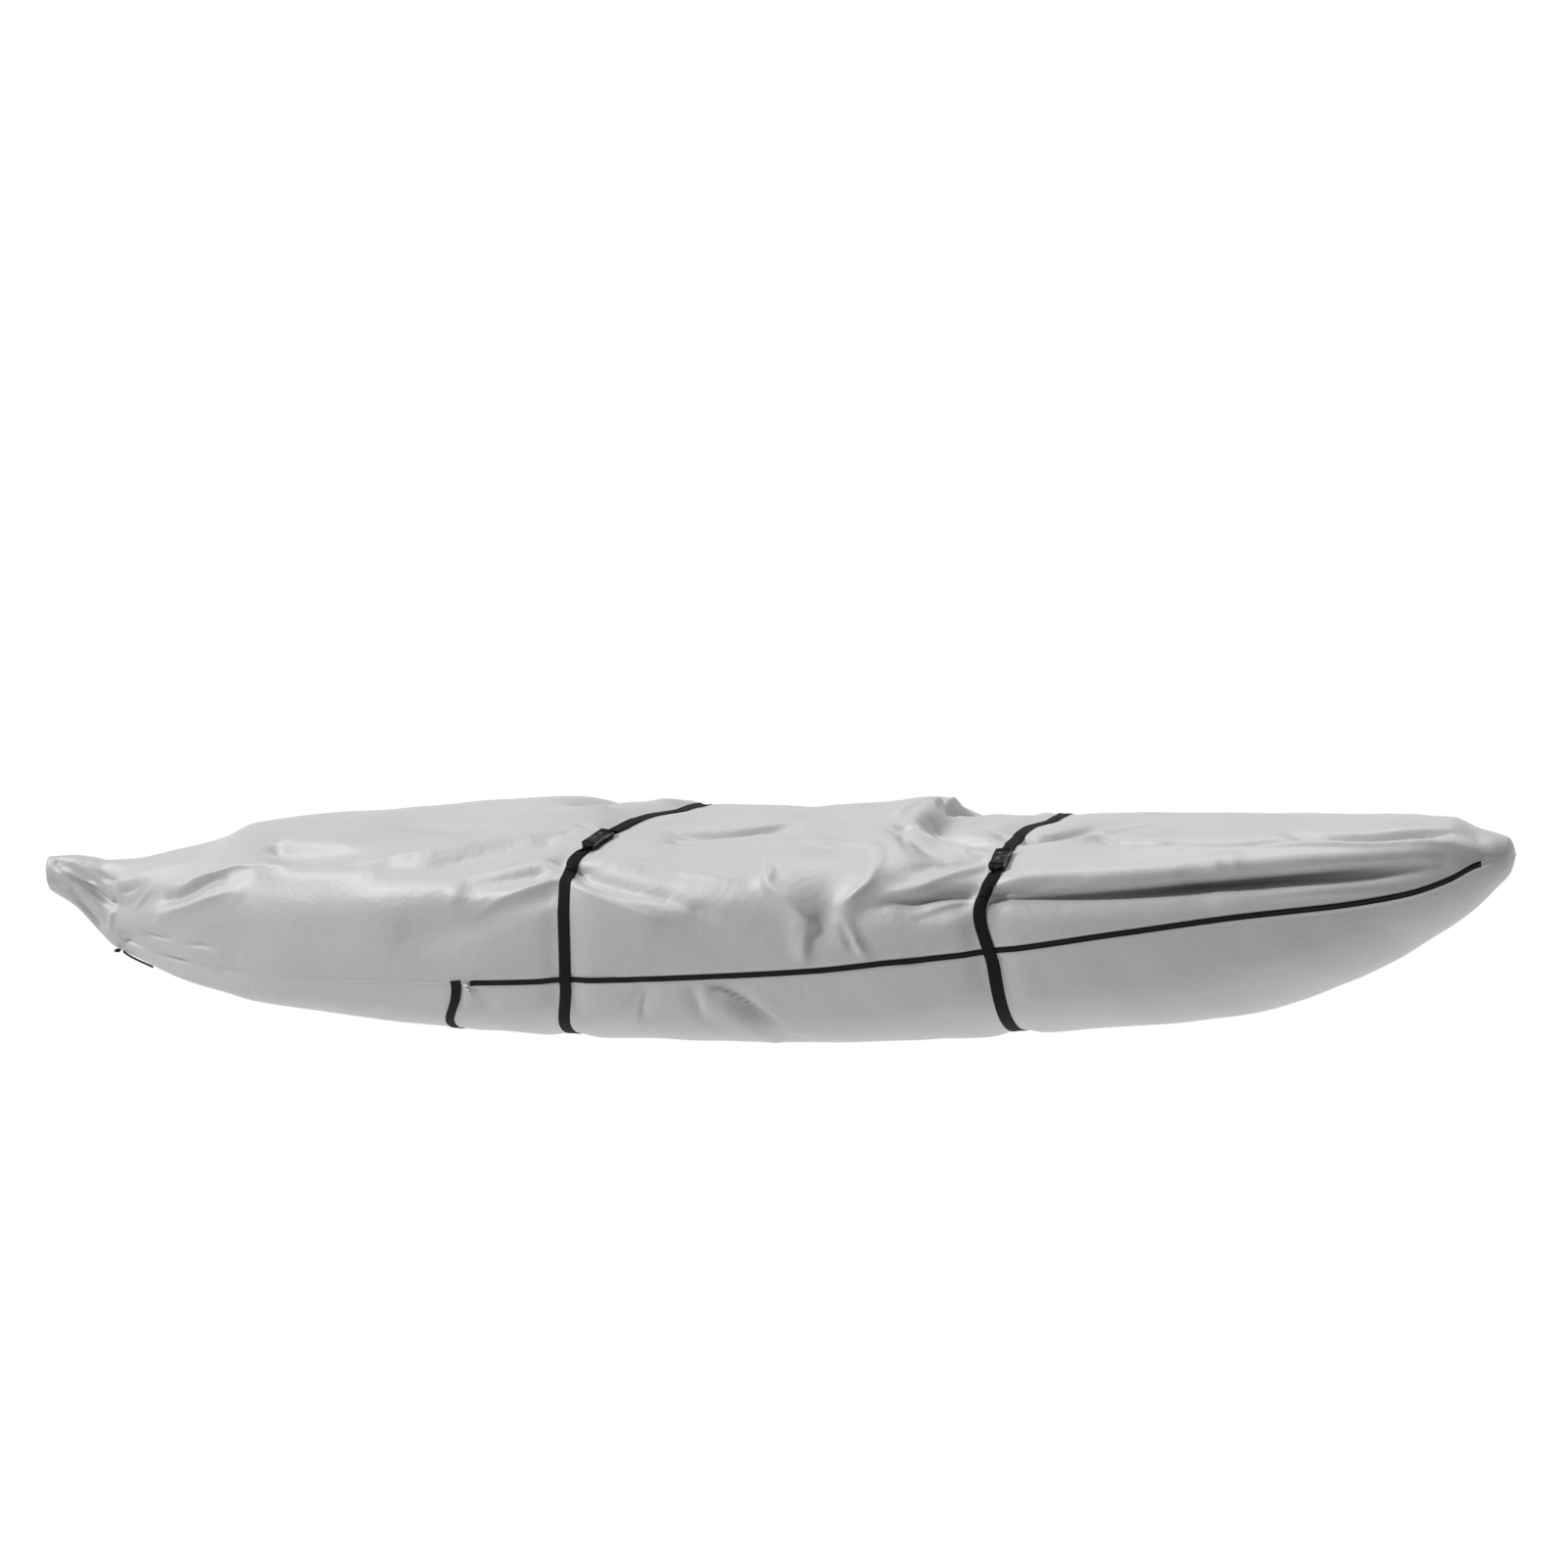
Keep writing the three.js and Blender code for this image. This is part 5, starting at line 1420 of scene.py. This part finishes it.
ZIP_OFFSETS = np.array([-6.0, -5.4, -3.0, -2.6, 0.0, 2.6, 3.0, 5.4, 6.0])
TOOTH = (2.0, 5.2, 2.0)
TOOTH_PITCH = 2.1
TOOTH_RISE = 1.0
TOOTH_STEP = 4.0
SEAM_AIM = 6
SLIDER_RISE = 0.8
SLIDER_HEIGHT = 4.2
SLIDER_BEVEL = 0.35
PULL_RISE = 2.2
PULL_THICKNESS = 1.4
PULL_BEVEL = 0.3


def make_zip_tape():
    places = np.arange(ZIP_FROM_X, ZIP_TO_X + 1, ZIP_STEP)
    edge = np.where(np.abs(ZIP_OFFSETS) == ZIP_HALF_WIDTH, ZIP_EDGE, 0)[None, :, None]
    at, out = cloth_point(places[:, None], -seam_girth(places)[:, None] + ZIP_OFFSETS[None, :])
    centre = len(ZIP_OFFSETS) // 2
    middle = out[:, centre:centre + 1]
    low = at + middle * (ZIP_TAPE_LOW + edge)
    top = at + middle * (ZIP_TAPE_TOP - edge)
    rings = np.concatenate([low, top[:, ::-1]], 1)
    width = np.concatenate([ZIP_OFFSETS, ZIP_OFFSETS[::-1]])
    maps = np.stack(np.broadcast_arrays(width[None, :], places[:, None]), -1).reshape(-1, 2)
    tape = make_loft("zip_tape_cloth", rings, ZIP_FABRIC, maps * MM)
    return finish_piece(tape, "black_zip", "zip_tape")


def rows_tree(name, unit, material):
    """A tree that sets a unit on a path at an even pitch, lying on the surface beside it."""
    tree = bpy.data.node_groups.new(name, "GeometryNodeTree")
    panel = tree.interface
    panel.new_socket("Geometry", in_out="INPUT", socket_type="NodeSocketGeometry")
    sizes = {}
    for label, value in (("Pitch", 0.004), ("Length", 1.0), ("Width", 1.0), ("Height", 1.0)):
        item = panel.new_socket(label, in_out="INPUT", socket_type="NodeSocketFloat")
        item.default_value = value
        sizes[label] = item.identifier
    panel.new_socket("Geometry", in_out="OUTPUT", socket_type="NodeSocketGeometry")
    nodes, link = tree.nodes, tree.links.new

    def add(kind, **settings):
        node = nodes.new(kind)
        for key, value in settings.items():
            setattr(node, key, value)
        return node

    given, made = add("NodeGroupInput"), add("NodeGroupOutput")
    path = add("GeometryNodeMeshToCurve")
    even = add("GeometryNodeResampleCurve")
    even.mode = "LENGTH"
    ahead = add("GeometryNodeInputTangent")
    out = add("GeometryNodeInputNamedAttribute", data_type="FLOAT_VECTOR")
    out.inputs["Name"].default_value = "out"
    facing = add("FunctionNodeAlignRotationToVector", axis="Z")
    along = add("FunctionNodeAlignRotationToVector", axis="X", pivot_axis="Z")
    size = add("ShaderNodeCombineXYZ")
    ball = add("GeometryNodeMeshUVSphere")
    ball.inputs["Segments"].default_value = unit[0]
    ball.inputs["Rings"].default_value = unit[1]
    ball.inputs["Radius"].default_value = 0.5
    rows = add("GeometryNodeInstanceOnPoints")
    real = add("GeometryNodeRealizeInstances")
    coat = add("GeometryNodeSetMaterial")
    coat.inputs["Material"].default_value = material
    link(given.outputs["Geometry"], path.inputs["Mesh"])
    link(path.outputs["Curve"], even.inputs["Curve"])
    link(given.outputs["Pitch"], even.inputs["Length"])
    link(out.outputs["Attribute"], facing.inputs["Vector"])
    link(facing.outputs["Rotation"], along.inputs["Rotation"])
    link(ahead.outputs["Tangent"], along.inputs["Vector"])
    for socket, label in zip(size.inputs, ("Length", "Width", "Height")):
        link(given.outputs[label], socket)
    link(even.outputs["Curve"], rows.inputs["Points"])
    link(ball.outputs["Mesh"], rows.inputs["Instance"])
    link(along.outputs["Rotation"], rows.inputs["Rotation"])
    link(size.outputs["Vector"], rows.inputs["Scale"])
    link(rows.outputs["Instances"], real.inputs["Geometry"])
    link(real.outputs["Geometry"], coat.inputs["Geometry"])
    link(coat.outputs["Geometry"], made.inputs["Geometry"])
    return tree, sizes


def make_rows(name, paths, unit, pitch, sizes, material):
    """Stitches or teeth along each path of (places, directions out), in millimetres."""
    points, outs, edges = [], [], []
    for places, out in paths:
        first = len(points)
        points.extend(placed(places).tolist())
        outs.extend(np.asarray(out).tolist())
        edges.extend((first + n, first + n + 1) for n in range(len(places) - 1))
    mesh = bpy.data.meshes.new(name)
    mesh.from_pydata(points, edges, [])
    kept = mesh.attributes.new("out", "FLOAT_VECTOR", "POINT")
    kept.data.foreach_set("vector", np.array(outs).ravel())
    piece = add_object(name, mesh)
    tree, names = rows_tree(name, unit, material)
    change = piece.modifiers.new("rows", "NODES")
    change.node_group = tree
    change[names["Pitch"]] = pitch * MM
    for label, value in zip(("Length", "Width", "Height"), sizes):
        change[names[label]] = value * MM
    apply_modifiers(piece)
    shade_smooth(piece.data)
    return piece


def seam_path(line_from, line_to, offset, side, rise, step=6.0):
    """A path beside the near seam (side -1) or the far one (side 1), at an offset from it."""
    lines = np.arange(line_from, line_to + 1, step)
    at, out = cloth_point(lines, side * seam_girth(lines) + offset)
    return at + out * rise, out


make_zip_tape()
teeth_path = seam_path(ZIP_FROM_X + 2, ZIP_TO_X - 3, 0, -1, TOOTH_RISE, TOOTH_STEP)
zip_teeth = make_rows("zip_teeth", [teeth_path], (6, 4), TOOTH_PITCH, TOOTH, TEETH_PLASTIC)
finish_piece(zip_teeth, "black_zip")


def seam_frame(line_x, height):
    """A place on the near seam: along it, up across it, and out of the cloth."""
    girth = -seam_girth(line_x)
    at, out = cloth_point(line_x, girth)
    ahead = cloth_surface(line_x + SEAM_AIM, girth) - cloth_surface(line_x - SEAM_AIM, girth)
    across = np.cross(out, ahead)
    across /= np.linalg.norm(across)
    return turned_frame(np.cross(across, out), across, out, at + out * height)


def finish_metal(piece, place, width):
    bevel_piece(piece, width)
    return finish_hard(piece, METAL, place)


def make_slider():
    """A wedge with a groove along each side and a bridge on its back, which holds the pull."""
    outline = mirrored([(-7, 2.2), (-6, 3.4), (2, 4.4), (5.6, 5), (7, 4)])
    body = scratch_object(outline_block(outline, 0, SLIDER_HEIGHT), "zip_slider_body")
    carve(body, [block((-8, -6, 1.4), (8, -1.2, 2.8)), block((-8, 1.2, 1.4), (8, 6, 2.8))])
    carve(body, [block((-4, -1.1, 4), (3, 1.1, 6.2))], "UNION")
    carve(body, [block((-2.2, -2, 4.3), (1.4, 2, 5.3))])
    return finish_metal(body, seam_frame(SLIDER_X, SLIDER_RISE), SLIDER_BEVEL)


def make_pull():
    """A flat tag with a hole for a finger cord and one for the slider's bridge, hanging down."""
    outline = mirrored([(-17, 2.6), (-15.6, 4), (-3, 3.4), (-1, 2.4), (0, 1.6)])
    tag = scratch_object(outline_block(outline, 0, PULL_THICKNESS), "zip_pull_tag")
    carve(tag, [block((-15, -2.2, -1), (-10, 2.2, 3)), block((-3.2, -1.2, -1), (-1.2, 1.2, 3))])
    hung = Matrix.Translation((0, -6, 0)) @ Matrix.Rotation(math.pi / 2, 4, "Z")
    return finish_metal(tag, seam_frame(SLIDER_X, PULL_RISE) @ hung, PULL_BEVEL)


finish_piece(make_slider(), "slider_metal", "zip_slider")
finish_piece(make_pull(), "slider_metal", "zip_pull")


# Stitching

STITCH = (3.0, 0.7, 0.6)
STITCH_PITCH = 4.2
STITCH_RISE = 0.1
HEM_STITCH_ROOM = 8.2
SEAM_STITCH_ROOM = 4.5
SEAM_FROM_X = -1390
FAR_SEAM_TO_X = 1570
NEAR_SEAM_TO_X = -500


def make_stitches():
    """Rows on both sides of the zip, of the far seam, and of the near seam behind the zip."""
    runs = [
        (ZIP_FROM_X, ZIP_TO_X - 2, HEM_STITCH_ROOM, -1),
        (SEAM_FROM_X, FAR_SEAM_TO_X, SEAM_STITCH_ROOM, 1),
        (SEAM_FROM_X, NEAR_SEAM_TO_X, SEAM_STITCH_ROOM, -1),
    ]
    paths = [
        seam_path(line_from, line_to, hand * room, side, STITCH_RISE)
        for line_from, line_to, room, side in runs for hand in (-1, 1)
    ]
    silver = make_rows("seam_stitches", paths, (5, 3), STITCH_PITCH, STITCH, SILVER_THREAD)
    return finish_piece(silver, "silver_cloth")


seam_stitches = make_stitches()


# Light

HORIZON_LIGHT = 1.0
CEILING_LIGHT = 0.12
NEAR_SIDE_LIGHT = 0.3
NEAR_FLOOR_LIGHT = 1.3
# Where the sky goes from one light to the next, from -1 to 1 along its axis
NEAR_FLOOR_FADE = (-0.85, -0.5)
NEAR_CEILING_FADE = (0.0, 0.3)
WALL_FADE = (-0.2, 0.4)
CEILING_FADE = (0.25, 0.6)
LAMP_DISTANCE = 6
# Columns: name, azimuth, elevation, spread, strength
LAMPS = [
    ("overhead", 175, 72, 14, 1.25),
    ("key", -56, 41, 9, 2.6),
]


def add_sun(name, azimuth, elevation, spread, strength):
    """A far, wide lamp."""
    light = bpy.data.lights.new(name, "SUN")
    light.energy = strength
    light.angle = math.radians(spread)
    lamp = add_object(name, light)
    place = toward(azimuth, elevation)
    lamp.rotation_mode = "QUATERNION"
    lamp.rotation_quaternion = place.to_track_quat("Z", "Y")
    lamp.location = place * LAMP_DISTANCE


def make_light():
    """Bright walls behind the cover, dim ones before it over a bright floor, and a dim ceiling."""
    world = bpy.data.worlds.new("studio")
    world.use_nodes = True
    nodes, link = world.node_tree.nodes, world.node_tree.links.new
    sky = nodes["Background"]
    sky.inputs["Color"].default_value = grey(1.0)
    parts = nodes.new("ShaderNodeSeparateXYZ")
    link(nodes.new("ShaderNodeTexCoord").outputs["Generated"], parts.inputs[0])

    def ramp(axis, fade, light_from, light_to):
        step = nodes.new("ShaderNodeMapRange")
        step.interpolation_type = "SMOOTHSTEP"
        link(parts.outputs[axis], step.inputs["Value"])
        values = (*fade, light_from, light_to)
        for label, value in zip(("From Min", "From Max", "To Min", "To Max"), values):
            if isinstance(value, float):
                step.inputs[label].default_value = value
            else:
                link(value, step.inputs[label])
        return step.outputs["Result"]

    near = ramp("Z", NEAR_FLOOR_FADE, NEAR_FLOOR_LIGHT, NEAR_SIDE_LIGHT)
    near = ramp("Z", NEAR_CEILING_FADE, near, CEILING_LIGHT)
    walls = ramp("Y", WALL_FADE, near, HORIZON_LIGHT)
    link(ramp("Z", CEILING_FADE, walls, CEILING_LIGHT), sky.inputs["Strength"])
    bpy.context.scene.world = world
    for lamp in LAMPS:
        add_sun(*lamp)


make_light()
bpy.context.scene.view_settings.view_transform = "Standard"
